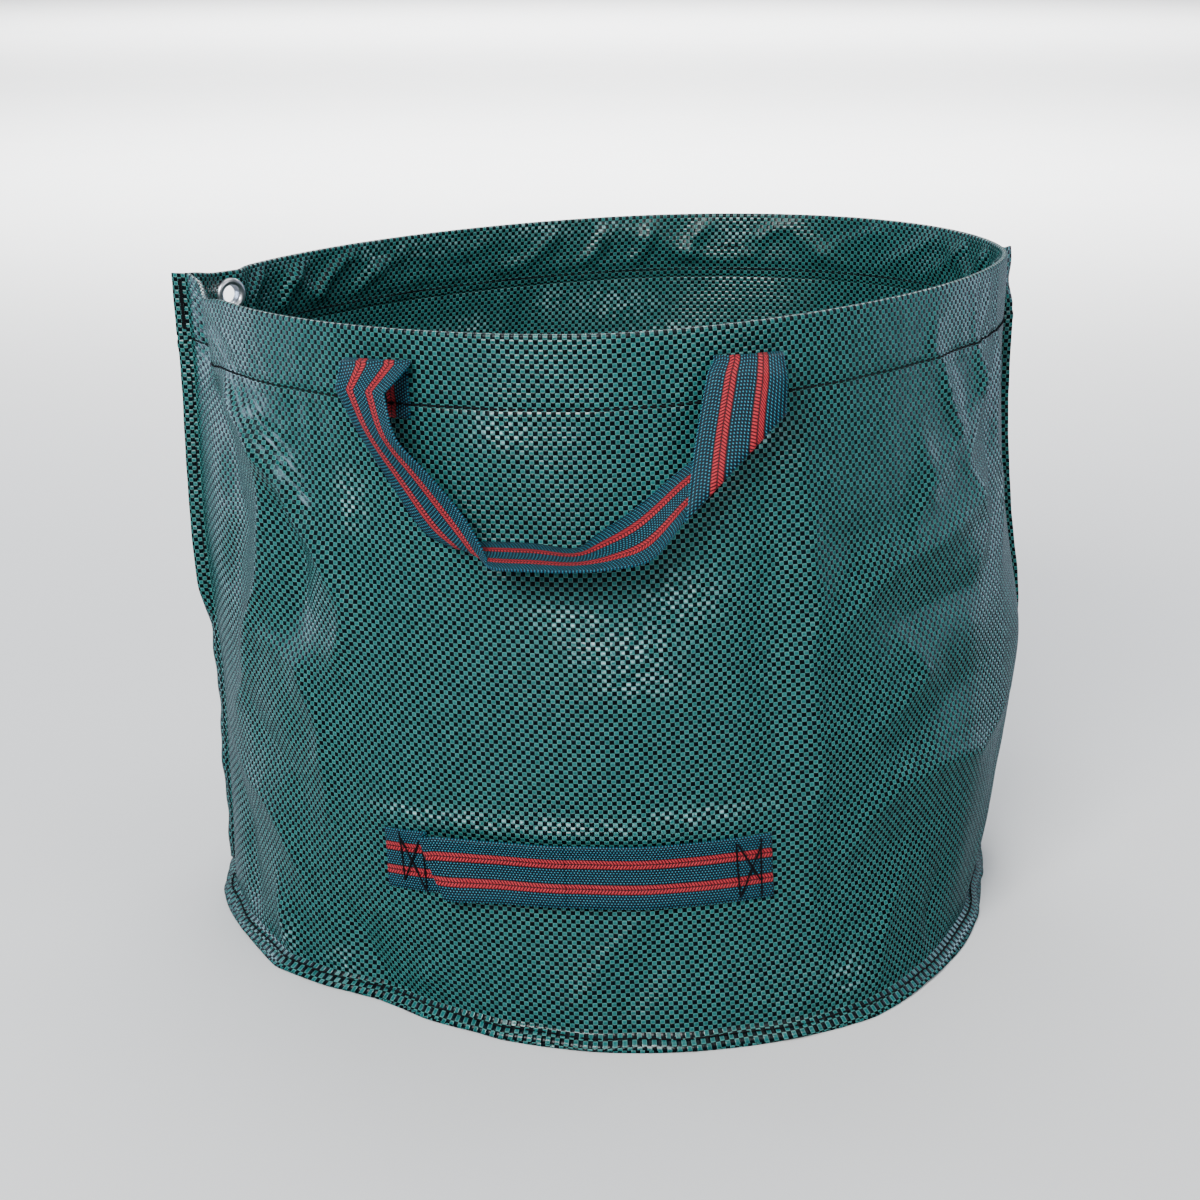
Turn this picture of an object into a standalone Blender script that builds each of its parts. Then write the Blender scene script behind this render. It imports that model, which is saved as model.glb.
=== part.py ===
"""Garden leaf bag: an open round bag of woven plastic with two webbing
handles, a low grab strap, a sprung rim and one eyelet.

The bag stands on z = 0 with the middle of its round base at the origin.
Its front, with the grab strap, looks along -Y and +X is to its right.
All sizes are in metres.
"""
import math

import bmesh
import bpy
from mathutils import Vector

# The bag as it stands open
BAG_HEIGHT = 0.385
BASE_RADIUS = 0.232
MOUTH_HALF_WIDTH = 0.239
MOUTH_FRONT_DEPTH = 0.220
MOUTH_BACK_DEPTH = 0.217
MOUTH_CENTRE_X = -0.004
MOUTH_CENTRE_Y = 0.008
MOUTH_FRONT_POWER = 1.68
MOUTH_BACK_POWER = 1.87
MOUTH_SKEW = 0.030
MOUTH_BACK_SHIFT = 0.025
RIM_SLOPE_X = 0.022
RIM_SLOPE_Y = -0.011
CORNER_PULL = 0.013
CORNER_REACH = 0.020
CORNER_TURN = math.radians(-26.0)
BASE_SEAM_TURN = math.radians(8.0)
BULGE = 0.010
BULGE_STATION_SHARE = 0.93
BULGE_SPREAD = 0.14

# Cloth, webbing and thread
FABRIC = 0.0005
WEBBING = 0.0014
WEBBING_WIDTH = 0.036
THREAD_WIDTH = 0.0009
THREAD_HEIGHT = 0.0007
THREAD_NEST = 0.00004
GAP = 0.0003

# Hem, seams and foot
HEM_DEPTH = 0.043
HEM_STITCH_DEPTH = 0.038
HEM_FOLD = 0.0012
HEM_ROUND_SHARE = 0.3
HEM_THREAD_END = 0.0013
HEM_THREAD_MARGIN = 0.0010
HEM_THREAD_RAMP = 0.0025
POCKET_END_DEPTH = 0.033
POCKET_TAPER = 0.003
STRAIGHT_TOP = 0.062
STRIP_WIDTH = 0.025
STRIP_THICKNESS = 0.0010
STRIP_DROP = 0.0035
STRIP_START = 0.058
SIDE_FLANGE = 0.0085
SIDE_FLANGE_START = 0.014
SIDE_STITCH_INSET = 0.0020
SIDE_STITCH_BOTTOM = 0.003
SIDE_STITCH_TOP = 0.008
SIDE_STITCH_STEPS = 8
FOOT_HEIGHT = 0.007
FOOT_REACH = 0.0085
FOOT_EDGE = 0.0014
FOOT_STITCH_SHARE = 0.22
BASE_RISE_START = 0.030
BASE_RISE_MIDDLE = 0.014
BASE_RISE_SHARE = 0.37
RIDGE_SHOULDER = 0.0025
BAR_TACK_LENGTH = 0.029
BAR_TACK_WIDTH = 0.0028
BAR_TACK_DROP = 0.0032
BAR_TACK_STITCHES = 14
BAR_TACK_GROOVE = 0.75

# Eyelet near the left corner of the back hem
EYELET_FROM_CORNER = 0.036
EYELET_DROP = 0.014
EYELET_HOLE_RADIUS = 0.0053
EYELET_BARREL_WALL = 0.0006
EYELET_FLANGE_RADIUS = 0.0100
EYELET_DOME = 0.0016
EYELET_EDGE = 0.0004
EYELET_ROLL_RADIUS = 0.0078
WASHER_THICKNESS = 0.0006
WASHER_RADIUS = 0.0095

# Carrying handles
FRONT_TAB_X = (-0.126, 0.064)
BACK_TAB_X = (0.075, -0.115)
TAB_BOTTOM_DEPTH = 0.046
TAB_STITCH_DEPTH = 0.0225
TAB_TOP_DEPTH = 0.0212
HANDLE_AXIS_DEPTH = 0.0155
TONGUE_RISE_SHARE = 0.8
TONGUE_REACH_SHARE = 0.5
TONGUE_STEPS = (0.35, 0.7, 1.0)
TAB_STITCH_INSET = 0.0015
LOOP_DROP = 0.097
LOOP_UPRIGHT = 0.012
LOOP_CORNER_WIDTH = 0.010
LOOP_CORNER_RISE = 0.009
LOOP_FLAT = 0.022
LOOP_SAG_LEFT = 0.049
LOOP_SAG_RIGHT = 0.080
LOOP_CURVE = ((0.55, 0.86), (0.30, 0.66), (0.14, 0.38))
KNUCKLE = ((0.3, 1.0), (0.85, 0.5))

# Low grab strap on the front
STRAP_HEIGHT = 0.088
STRAP_LEFT_X = -0.125
STRAP_RIGHT_X = 0.079
STRAP_END_LENGTH = 0.026
STRAP_SLACK = 0.0095
STRAP_STEP = 0.014
STRAP_STEP_SHARES = (0.15, 0.35, 0.5, 0.65, 0.85, 1.0)
SLOPE_STEP = 0.02
STITCH_INSET = 0.0035

# Mesh steps
PANEL_FACETS = 30
BODY_ROWS = 5
OUTLINE_SAMPLES = 1440
ROUND_SIDES = 32

STATIONS = 2 * PANEL_FACETS
POCKET = STRIP_THICKNESS + 2 * GAP
HEM_THICKNESS = 2 * FABRIC + POCKET
LOOP_CLEARANCE = WEBBING + THREAD_HEIGHT + 4 * GAP
HANDLE_STAND_OFF = LOOP_CLEARANCE + WEBBING / 2 + GAP


def clear_scene():
    for item in list(bpy.data.objects):
        bpy.data.objects.remove(item, do_unlink=True)


def make_material(name, colour, roughness, metallic=0.0):
    material = bpy.data.materials.new(name)
    material.use_nodes = True
    shader = material.node_tree.nodes["Principled BSDF"]
    shader.inputs["Base Color"].default_value = (*colour, 1.0)
    shader.inputs["Roughness"].default_value = roughness
    shader.inputs["Metallic"].default_value = metallic
    material.diffuse_color = (*colour, 1.0)
    return material


def add_object(name, mesh_data, material):
    mesh = bpy.data.meshes.new(name)
    mesh_data.to_mesh(mesh)
    mesh_data.free()
    mesh.materials.append(material)
    item = bpy.data.objects.new(name, mesh)
    bpy.context.scene.collection.objects.link(item)
    return item


def sweep(name, sections, material, closed=False):
    """Skin a row of equal loops of points, capped at both ends or closed on itself."""
    mesh_data = bmesh.new()
    rings = [[mesh_data.verts.new(point) for point in section] for section in sections]
    count = len(rings[0])
    pairs = list(zip(rings, rings[1:]))
    if closed:
        pairs.append((rings[-1], rings[0]))
    else:
        mesh_data.faces.new(rings[0])
        mesh_data.faces.new(rings[-1])
    for near, far in pairs:
        for i in range(count):
            j = (i + 1) % count
            mesh_data.faces.new((near[i], near[j], far[j], far[i]))
    bmesh.ops.recalc_face_normals(mesh_data, faces=mesh_data.faces)
    return add_object(name, mesh_data, material)


# The outline of the mouth, walked at equal steps from the left corner along the front

def signed_power(value, power):
    return math.copysign(abs(value) ** power, value)


def mouth_curve(share):
    turn = 2.0 * math.pi * share
    across = -math.cos(turn)
    along = -math.sin(turn)
    depth = MOUTH_FRONT_DEPTH if along < 0 else MOUTH_BACK_DEPTH
    power = MOUTH_FRONT_POWER if along < 0 else MOUTH_BACK_POWER
    x = signed_power(across, 2.0 / power) * MOUTH_HALF_WIDTH
    y_share = signed_power(along, 2.0 / power)
    y = y_share * depth + MOUTH_SKEW * x / MOUTH_HALF_WIDTH
    x += MOUTH_BACK_SHIFT * max(y_share, 0.0) ** 1.5
    return Vector((x + MOUTH_CENTRE_X, y + MOUTH_CENTRE_Y, 0.0))


def mouth_points():
    fine = [mouth_curve(i / OUTLINE_SAMPLES) for i in range(OUTLINE_SAMPLES + 1)]
    walked = [0.0]
    for near, far in zip(fine, fine[1:]):
        walked.append(walked[-1] + (far - near).length)
    step = walked[-1] / STATIONS
    pull = Vector((-math.cos(CORNER_TURN), -math.sin(CORNER_TURN), 0.0)) * CORNER_PULL
    points = []
    index = 0
    for k in range(STATIONS):
        target = k * step
        while walked[index + 1] < target:
            index += 1
        share = (target - walked[index]) / (walked[index + 1] - walked[index])
        point = fine[index].lerp(fine[index + 1], share)
        from_corner = min(target, walked[-1] - target)
        points.append(point + pull * math.exp(-from_corner / CORNER_REACH))
    return points


def base_points():
    points = []
    for k in range(STATIONS):
        angle = math.pi + BASE_SEAM_TURN + 2.0 * math.pi * k / STATIONS
        points.append(Vector((math.cos(angle), math.sin(angle), 0.0)) * BASE_RADIUS)
    return points


MOUTH = mouth_points()
BASE = base_points()
FACET = (MOUTH[11] - MOUTH[10]).length


def rim_height(k):
    point = MOUTH[k % STATIONS]
    return BAG_HEIGHT + RIM_SLOPE_X * point.x + RIM_SLOPE_Y * point.y


def mitre(points, k):
    """Inward offset direction of a closed outline at one of its corners."""
    here = points[k % STATIONS]
    before = (here - points[(k - 1) % STATIONS]).normalized()
    after = (points[(k + 1) % STATIONS] - here).normalized()
    first = Vector((-before.y, before.x, 0.0))
    second = Vector((-after.y, after.x, 0.0))
    return (first + second) / (1.0 + first.dot(second))


BASE_MITRES = [mitre(BASE, k) for k in range(STATIONS)]


def bulge_at(k, rise):
    top = 1.0 - STRAIGHT_TOP / (BAG_HEIGHT - FOOT_HEIGHT)
    if rise >= top:
        return 0.0
    away = (k - BULGE_STATION_SHARE * PANEL_FACETS) / (BULGE_SPREAD * STATIONS)
    return BULGE * math.exp(-away * away) * math.sin(math.pi * rise / top) ** 2


def plan_point(k, height):
    """Outer face of the wall at a station and a height, without the height."""
    k = k % STATIONS
    if height < FOOT_HEIGHT:
        spread = FOOT_REACH * (FOOT_HEIGHT - height) / (FOOT_HEIGHT - FOOT_EDGE)
        return BASE[k] - BASE_MITRES[k] * spread
    rise = (height - FOOT_HEIGHT) / (rim_height(k) - FOOT_HEIGHT)
    outward = BASE[k].normalized()
    return BASE[k].lerp(MOUTH[k], rise) + outward * bulge_at(k, rise)


def wall_normal(k, height):
    """Inward offset direction of the wall at a station and a height."""
    if height < FOOT_HEIGHT:
        return BASE_MITRES[k % STATIONS]
    around = {j % STATIONS: plan_point(j, height) for j in (k - 1, k, k + 1)}
    return mitre(around, k % STATIONS)


def station_point(k, height, offset):
    point = plan_point(k, height) + wall_normal(k, height) * offset
    point.z = height
    return point


def at_height(k, height, offset):
    """Point at an offset inside the wall's outer face, at a height above the floor."""
    low = math.floor(k)
    share = k - low
    near = station_point(low, height, offset)
    if share == 0.0:
        return near
    return near.lerp(station_point(low + 1, height, offset), share)


def at_depth(k, depth, offset):
    """The same, at a depth below the rim."""
    low = math.floor(k)
    share = k - low
    near = station_point(low, rim_height(low) - depth, offset)
    if share == 0.0:
        return near
    return near.lerp(station_point(low + 1, rim_height(low + 1) - depth, offset), share)


def span(start, end):
    """Stations from start to end with each fold of the faceted wall between them."""
    inner = range(math.floor(start) + 1, math.ceil(end))
    return [start] + [float(k) for k in inner] + [end]


def band(name, stations, low, high, offsets, material, place):
    """A flat strip that follows the wall, between two levels and two offsets."""
    sections = []
    for k in stations:
        near, far = offsets(k)
        sections.append([place(k, low, near), place(k, low, far),
                         place(k, high, far), place(k, high, near)])
    return sweep(name, sections, material)


# Panels and what is sewn round them

def seam_station(seam, side, distance):
    """Station a short way from a seam, to its front side (+1) or its back side (-1)."""
    direction = side if seam == 0 else -side
    return seam + direction * distance / FACET


def panel_profile(k):
    """Closed hooked section of a side panel: wall, folded hem and turned-out foot."""
    top = rim_height(math.floor(k + 0.5))
    body_top = top - STRAIGHT_TOP
    rows = [SIDE_FLANGE_START + (body_top - SIDE_FLANGE_START) * i / BODY_ROWS
            for i in range(BODY_ROWS + 1)]
    heights = [FOOT_EDGE, FOOT_HEIGHT] + rows
    hem = [HEM_DEPTH, HEM_STITCH_DEPTH, POCKET_END_DEPTH, HEM_DEPTH / 3, HEM_FOLD]
    low_gap = FABRIC + GAP
    foot_slope = math.hypot(FOOT_REACH, FOOT_HEIGHT - FOOT_EDGE) / (FOOT_HEIGHT - FOOT_EDGE)
    section = [at_height(k, height, 0.0) for height in heights]
    section += [at_depth(k, depth, 0.0) for depth in hem]
    section.append(at_depth(k, 0.0, HEM_THICKNESS * HEM_ROUND_SHARE))
    section.append(at_depth(k, 0.0, HEM_THICKNESS * (1.0 - HEM_ROUND_SHARE)))
    section += [at_depth(k, depth, HEM_THICKNESS) for depth in (HEM_FOLD, HEM_DEPTH / 3)]
    section.append(at_depth(k, POCKET_END_DEPTH - POCKET_TAPER, HEM_THICKNESS))
    section += [at_depth(k, depth, low_gap + FABRIC) for depth in (HEM_STITCH_DEPTH, HEM_DEPTH)]
    section += [at_depth(k, depth, low_gap) for depth in (HEM_DEPTH, HEM_STITCH_DEPTH)]
    inside_hem = (POCKET_END_DEPTH - POCKET_TAPER, HEM_DEPTH / 3, 2 * HEM_FOLD)
    section += [at_depth(k, depth, FABRIC + POCKET) for depth in inside_hem]
    section += [at_depth(k, depth, FABRIC) for depth in reversed(hem[1:-1] + [2 * HEM_FOLD])]
    section.append(at_depth(k, HEM_DEPTH, FABRIC))
    section += [at_height(k, height, FABRIC) for height in reversed(heights[1:])]
    section.append(at_height(k, FOOT_EDGE, FABRIC * foot_slope))
    return section, len(heights) + len(hem)


def side_panel(name, first_seam, side, material):
    """One half of the wall, from seam to seam, with a sewn flange at each end."""
    last_seam = STATIONS - PANEL_FACETS if side > 0 else STATIONS
    inner = [float(k) for k in range(first_seam + 1, last_seam)]
    start = [first_seam + (GAP + FABRIC * i) / FACET for i in (0, 1)]
    end = [last_seam - (GAP + FABRIC * i) / FACET for i in (1, 0)]
    stations = start + inner + end
    sections = []
    for k in stations:
        section, outer_count = panel_profile(k)
        sections.append(section)
    panel = sweep(name, sections, material)
    mesh_data = bmesh.new()
    mesh_data.from_mesh(panel.data)
    mesh_data.verts.ensure_lookup_table()
    count = len(sections[0])
    for ring, seam in ((0, first_seam), (len(stations) - 2, last_seam)):
        columns = [set(range(r * count + 2, r * count + outer_count)) for r in (ring, ring + 1)]
        wanted = columns[0] | columns[1]
        strip = [face for face in mesh_data.faces if {v.index for v in face.verts} <= wanted]
        strip = [face for face in strip if len(face.verts) == 4]
        made = bmesh.ops.extrude_face_region(mesh_data, geom=strip)
        bmesh.ops.delete(mesh_data, geom=strip, context="FACES_ONLY")
        for vertex in [item for item in made["geom"] if isinstance(item, bmesh.types.BMVert)]:
            vertex.co -= wall_normal(seam, vertex.co.z).normalized() * SIDE_FLANGE
        mesh_data.verts.ensure_lookup_table()
    bmesh.ops.recalc_face_normals(mesh_data, faces=mesh_data.faces)
    mesh_data.to_mesh(panel.data)
    mesh_data.free()
    return panel


def foot_point(k, reach, height):
    point = BASE[k] - BASE_MITRES[k] * reach
    point.z = height
    return point


def base_panel(material):
    """Round base: flat in the middle, rising to its seam, with its edge turned out and down."""
    slope = FOOT_REACH / (FOOT_HEIGHT - FOOT_EDGE)
    thick = FABRIC * math.hypot(slope, 1.0)
    play = GAP * math.hypot(slope, 1.0)
    ridge = -FABRIC - play
    edge_top = FOOT_EDGE - (thick + play) / slope
    profile = [
        (-BASE_RISE_START, FABRIC),
        (-BASE_RISE_MIDDLE, FABRIC + FOOT_HEIGHT * BASE_RISE_SHARE),
        (ridge - RIDGE_SHOULDER, FOOT_HEIGHT - FABRIC),
        (ridge, FOOT_HEIGHT),
        (FOOT_REACH, edge_top),
        (FOOT_REACH, 0.0),
        (FOOT_REACH - thick * 0.6, 0.0),
        (ridge - FABRIC * 0.5, FOOT_HEIGHT - FABRIC * 1.3),
        (ridge - RIDGE_SHOULDER, FOOT_HEIGHT - FABRIC * 2.1),
        (-BASE_RISE_MIDDLE, FOOT_HEIGHT * BASE_RISE_SHARE),
        (-BASE_RISE_START, 0.0),
    ]
    mesh_data = bmesh.new()
    rings = []
    for k in range(STATIONS):
        rings.append([mesh_data.verts.new(foot_point(k, reach, z)) for reach, z in profile])
    for k in range(STATIONS):
        near = rings[k]
        far = rings[(k + 1) % STATIONS]
        for i in range(len(profile) - 1):
            mesh_data.faces.new((near[i], near[i + 1], far[i + 1], far[i]))
    mesh_data.faces.new([ring[0] for ring in rings])
    mesh_data.faces.new([ring[-1] for ring in rings])
    bmesh.ops.recalc_face_normals(mesh_data, faces=mesh_data.faces)
    return add_object("base_panel", mesh_data, material)


def rim_strip(material):
    """Springy strip in the hem, open at the left corner."""
    start = STRIP_START / FACET
    near = FABRIC + GAP
    return band("rim_strip", span(start, STATIONS - start), STRIP_DROP + STRIP_WIDTH,
                STRIP_DROP, lambda k: (near, near + STRIP_THICKNESS), material, at_depth)


def hem_threads(tabs, material):
    """Stitch lines of the hem, outside over the handle tabs and inside on the folded layer."""
    middle = HEM_STITCH_DEPTH
    low = middle + THREAD_WIDTH / 2
    high = middle - THREAD_WIDTH / 2
    margin = HEM_THREAD_MARGIN / FACET
    ramp = HEM_THREAD_RAMP / FACET
    lift = GAP + WEBBING

    def outside(k):
        rise = 0.0
        for start, end in tabs:
            reach = max(start - margin - k, k - end - margin, 0.0)
            rise = max(rise, lift * (1.0 - min(reach / ramp, 1.0)))
        return -GAP - THREAD_HEIGHT - rise, -GAP - rise

    inner = FABRIC + GAP + FABRIC + GAP

    def inside(k):
        return inner, inner + THREAD_HEIGHT

    for name, first in (("front", 0), ("back", PANEL_FACETS)):
        edge = HEM_THREAD_END / FACET
        start = first + edge
        end = first + PANEL_FACETS - edge
        stations = set(span(start, end))
        for tab in tabs:
            for k in (tab[0] - margin - ramp, tab[0] - margin, tab[1] + margin,
                      tab[1] + margin + ramp):
                if start < k < end:
                    stations.add(k)
        band(name + "_hem_thread", sorted(stations), low, high, outside, material, at_depth)
        band(name + "_hem_bobbin_thread", span(start, end), low, high, inside, material, at_depth)


def flange_face(seam, side, height, reach, lift):
    """Point on the outer face of a seam flange: reach out from the wall, lift off the cloth."""
    k = seam_station(seam, side, GAP + FABRIC) % STATIONS
    outward = -wall_normal(seam, height).normalized()
    sideways = Vector((-outward.y, outward.x, 0.0))
    start = at_height(k, height, 0.0)
    if sideways.dot(start - station_point(seam, height, 0.0)) < 0:
        sideways = -sideways
    return start + outward * reach + sideways * lift


def flange_thread(name, seam, side, heights, reaches, material):
    sections = []
    for height, reach in zip(heights, reaches):
        section = []
        for out, lift in ((-0.5, 0.0), (0.5, 0.0), (0.5, 1.0), (-0.5, 1.0)):
            section.append(flange_face(seam, side, height, reach + out * THREAD_WIDTH,
                                       GAP + lift * THREAD_HEIGHT))
        sections.append(section)
    return sweep(name, sections, material)


def side_seam_threads(material):
    for seam_name, seam in (("left", 0), ("right", PANEL_FACETS)):
        low = SIDE_FLANGE_START + SIDE_STITCH_BOTTOM
        high = rim_height(seam) - BAR_TACK_LENGTH - SIDE_STITCH_TOP
        step = (high - low) / SIDE_STITCH_STEPS
        heights = [low + step * i for i in range(SIDE_STITCH_STEPS + 1)]
        reaches = [SIDE_STITCH_INSET] * len(heights)
        flange_thread(seam_name + "_seam_thread", seam, 1, heights, reaches, material)
        flange_thread(seam_name + "_seam_bobbin_thread", seam, -1, heights, reaches, material)


def bar_tack(material):
    """Dense block of stitches that closes the top of the left seam, with a groove at each."""
    top = rim_height(0) - BAR_TACK_DROP
    count = 2 * BAR_TACK_STITCHES
    middle = SIDE_STITCH_INSET + BAR_TACK_WIDTH / 2
    sections = []
    for i in range(count + 1):
        height = top - BAR_TACK_LENGTH * i / count
        fullness = 1.0 if i % 2 else BAR_TACK_GROOVE
        half = BAR_TACK_WIDTH / 2 * fullness
        low = GAP
        high = GAP + THREAD_HEIGHT * fullness
        corners = ((-half, low), (half, low), (half, high), (-half, high))
        sections.append([flange_face(0, 1, height, middle + out, lift) for out, lift in corners])
    return sweep("left_bar_tack", sections, material)


def base_seam_thread(material):
    """Stitch line round the foot, on the turned-out edge of the wall."""
    drop = FOOT_HEIGHT - FOOT_EDGE
    length = math.hypot(FOOT_REACH, drop)
    down = (FOOT_REACH / length, -drop / length)
    up = (drop / length, FOOT_REACH / length)
    sections = []
    for k in range(STATIONS):
        section = []
        for along, lift in ((-0.5, 0.0), (0.5, 0.0), (0.5, 1.0), (-0.5, 1.0)):
            travel = FOOT_STITCH_SHARE * length + along * THREAD_WIDTH
            raise_by = GAP + lift * THREAD_HEIGHT
            reach = travel * down[0] + raise_by * up[0]
            height = FOOT_HEIGHT + travel * down[1] + raise_by * up[1]
            section.append(foot_point(k, reach, height))
        sections.append(section)
    return sweep("base_seam_thread", sections, material, closed=True)


# Eyelet

def eyelet_frame():
    """Centre on the wall's outer face and the inward axis of the flat facet that holds it."""
    k = STATIONS - EYELET_FROM_CORNER / FACET
    low = math.floor(k)
    corner = at_depth(low, EYELET_DROP, 0.0)
    across = at_depth(low + 1, EYELET_DROP, 0.0) - corner
    upward = at_depth(low, 0.0, 0.0) - corner
    axis = across.cross(upward).normalized()
    if axis.dot(wall_normal(low, BAG_HEIGHT - EYELET_DROP)) < 0:
        axis = -axis
    return at_depth(k, EYELET_DROP, 0.0), axis


def turned_ring(name, profile, centre, axis, material):
    """Closed ring with the given (radius, distance along the axis) section."""
    side = axis.orthogonal().normalized()
    other = axis.cross(side)
    sections = []
    for i in range(ROUND_SIDES):
        angle = 2.0 * math.pi * i / ROUND_SIDES
        direction = side * math.cos(angle) + other * math.sin(angle)
        sections.append([centre + direction * r + axis * a for r, a in profile])
    ring = sweep(name, sections, material, closed=True)
    ring.data.shade_smooth()
    ring.data.set_sharp_from_angle(angle=math.radians(40))
    return ring


def eyelet(material, washer_material):
    centre, axis = eyelet_frame()
    hole = EYELET_HOLE_RADIUS
    edge = EYELET_EDGE
    barrel = hole + EYELET_BARREL_WALL
    face = HEM_THICKNESS + GAP
    dome = face + EYELET_DOME
    roll_in = -GAP - WASHER_THICKNESS - GAP
    roll_out = roll_in - EYELET_DOME / 2
    ring_middle = (hole + EYELET_FLANGE_RADIUS) / 2
    turned_ring("eyelet", [
        (hole, roll_out + edge), (hole, dome - 2 * edge), (hole + edge, dome - edge / 2),
        (ring_middle, dome), (EYELET_FLANGE_RADIUS - edge, face + EYELET_DOME * 0.6),
        (EYELET_FLANGE_RADIUS, face + edge), (EYELET_FLANGE_RADIUS - edge, face),
        (barrel, face), (barrel, roll_in), (EYELET_ROLL_RADIUS, roll_in),
        (EYELET_ROLL_RADIUS - edge, roll_out + edge / 2), (barrel, roll_out),
    ], centre, axis, material)
    turned_ring("eyelet_washer", [
        (barrel + GAP, -GAP), (barrel + GAP, -GAP - WASHER_THICKNESS),
        (WASHER_RADIUS - edge, -GAP - WASHER_THICKNESS),
        (WASHER_RADIUS, -GAP - WASHER_THICKNESS / 2), (WASHER_RADIUS, -GAP),
    ], centre, axis, washer_material)
    return centre, axis, barrel + GAP


def punch_eyelet_hole(panel, centre, axis, radius):
    mesh_data = bmesh.new()
    bmesh.ops.create_cone(mesh_data, cap_ends=True, segments=ROUND_SIDES,
                          radius1=radius, radius2=radius, depth=4 * radius)
    cutter_mesh = bpy.data.meshes.new("eyelet_hole_cutter")
    mesh_data.to_mesh(cutter_mesh)
    mesh_data.free()
    cutter = bpy.data.objects.new("eyelet_hole_cutter", cutter_mesh)
    bpy.context.scene.collection.objects.link(cutter)
    cutter.rotation_mode = "QUATERNION"
    cutter.rotation_quaternion = axis.to_track_quat("Z", "Y")
    cutter.location = centre
    cutter.hide_render = True
    cutter.display_type = "WIRE"
    cut = panel.modifiers.new("eyelet_hole", "BOOLEAN")
    cut.operation = "DIFFERENCE"
    cut.solver = "EXACT"
    cut.object = cutter


# Carrying handles

def station_at_x(first, x, height):
    """Station of a panel where the wall's outer face passes a given x."""
    for k in range(first + 4, first + PANEL_FACETS - 4):
        near = plan_point(k, height).x
        far = plan_point(k + 1, height).x
        if (near - x) * (far - x) <= 0.0:
            return k + (x - near) / (far - near)
    raise ValueError("no wall at that x")


class HandleFrame:
    """Flat frame of a handle: x along its hinge line, y into the bag, z up."""

    def __init__(self, first, tab_x):
        self.first = first
        height = BAG_HEIGHT - HANDLE_AXIS_DEPTH
        self.centres = [station_at_x(first, x, height) for x in tab_x]
        half = WEBBING_WIDTH / 2 / FACET
        self.tabs = [(k - half, k + half) for k in self.centres]
        feet = [at_depth(k, HANDLE_AXIS_DEPTH, 0.0) for k in self.centres]
        self.along = (feet[1] - feet[0]).normalized()
        self.inward = Vector((-self.along.y, self.along.x, 0.0)).normalized()
        self.up = self.along.cross(self.inward)
        middle = (feet[0] + feet[1]) / 2
        self.half_spacing = (feet[1] - feet[0]).length / 2
        self.origin = middle
        edges = [side * self.half_spacing + across * WEBBING_WIDTH / 2
                 for side in (-1, 1) for across in (-1, 1)]
        outermost = min(self.wall_y(x, 0.0) for x in edges)
        self.origin = middle + self.inward * (outermost - HANDLE_STAND_OFF)

    def world(self, x, y, z):
        return self.origin + self.along * x + self.inward * y + self.up * z

    def wall_y(self, x, z):
        """How far into the frame the wall's outer face lies at a point of it."""
        height = self.world(x, 0.0, z).z
        for k in range(self.first, self.first + PANEL_FACETS):
            near = station_point(k, height, 0.0) - self.origin
            far = station_point(k + 1, height, 0.0) - self.origin
            start = self.along.dot(near)
            end = self.along.dot(far)
            if start <= x <= end:
                share = (x - start) / (end - start)
                return self.inward.dot(near.lerp(far, share))
        raise ValueError("no wall behind the handle")

    def rest_y(self, x, z):
        """Middle of the webbing where it hangs: under its hinge, or in front of the wall."""
        return min(0.0, self.wall_y(x, z) - LOOP_CLEARANCE - WEBBING / 2)


def handle_tab(name, frame, tab, side, material):
    """Sewn end of the webbing, with its short free tongue up to the hinge line."""
    half = WEBBING_WIDTH / 2
    columns = []
    for k in span(*tab):
        share = (k - tab[0]) / (tab[1] - tab[0])
        x = side * frame.half_spacing + (2.0 * share - 1.0) * half
        column = [(at_depth(k, depth, -GAP), at_depth(k, depth, -GAP - WEBBING))
                  for depth in (TAB_BOTTOM_DEPTH, HEM_STITCH_DEPTH, TAB_TOP_DEPTH)]
        start = (column[-1][0] + column[-1][1]) / 2
        end = frame.world(x, WEBBING / 2 + GAP, 0.0)
        rise = frame.up * frame.up.dot(end - start) * TONGUE_RISE_SHARE
        reach = frame.inward * frame.inward.dot(start - end) * TONGUE_REACH_SHARE
        points = [start, start + rise, end + reach, end]
        for step in TONGUE_STEPS:
            rest = 1.0 - step
            weights = (rest ** 3, 3 * rest * rest * step, 3 * rest * step * step, step ** 3)
            place = Vector()
            for weight, point in zip(weights, points):
                place += point * weight
            tangent = ((points[1] - points[0]) * rest * rest
                       + (points[2] - points[1]) * 2 * rest * step
                       + (points[3] - points[2]) * step * step).normalized()
            normal = tangent.cross(frame.along).normalized() * (WEBBING / 2)
            column.append((place + normal, place - normal))
        columns.append(column)
    sections = []
    for column in columns:
        sections.append([pair[0] for pair in column] + [pair[1] for pair in reversed(column)])
    return sweep(name, sections, material)


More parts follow.
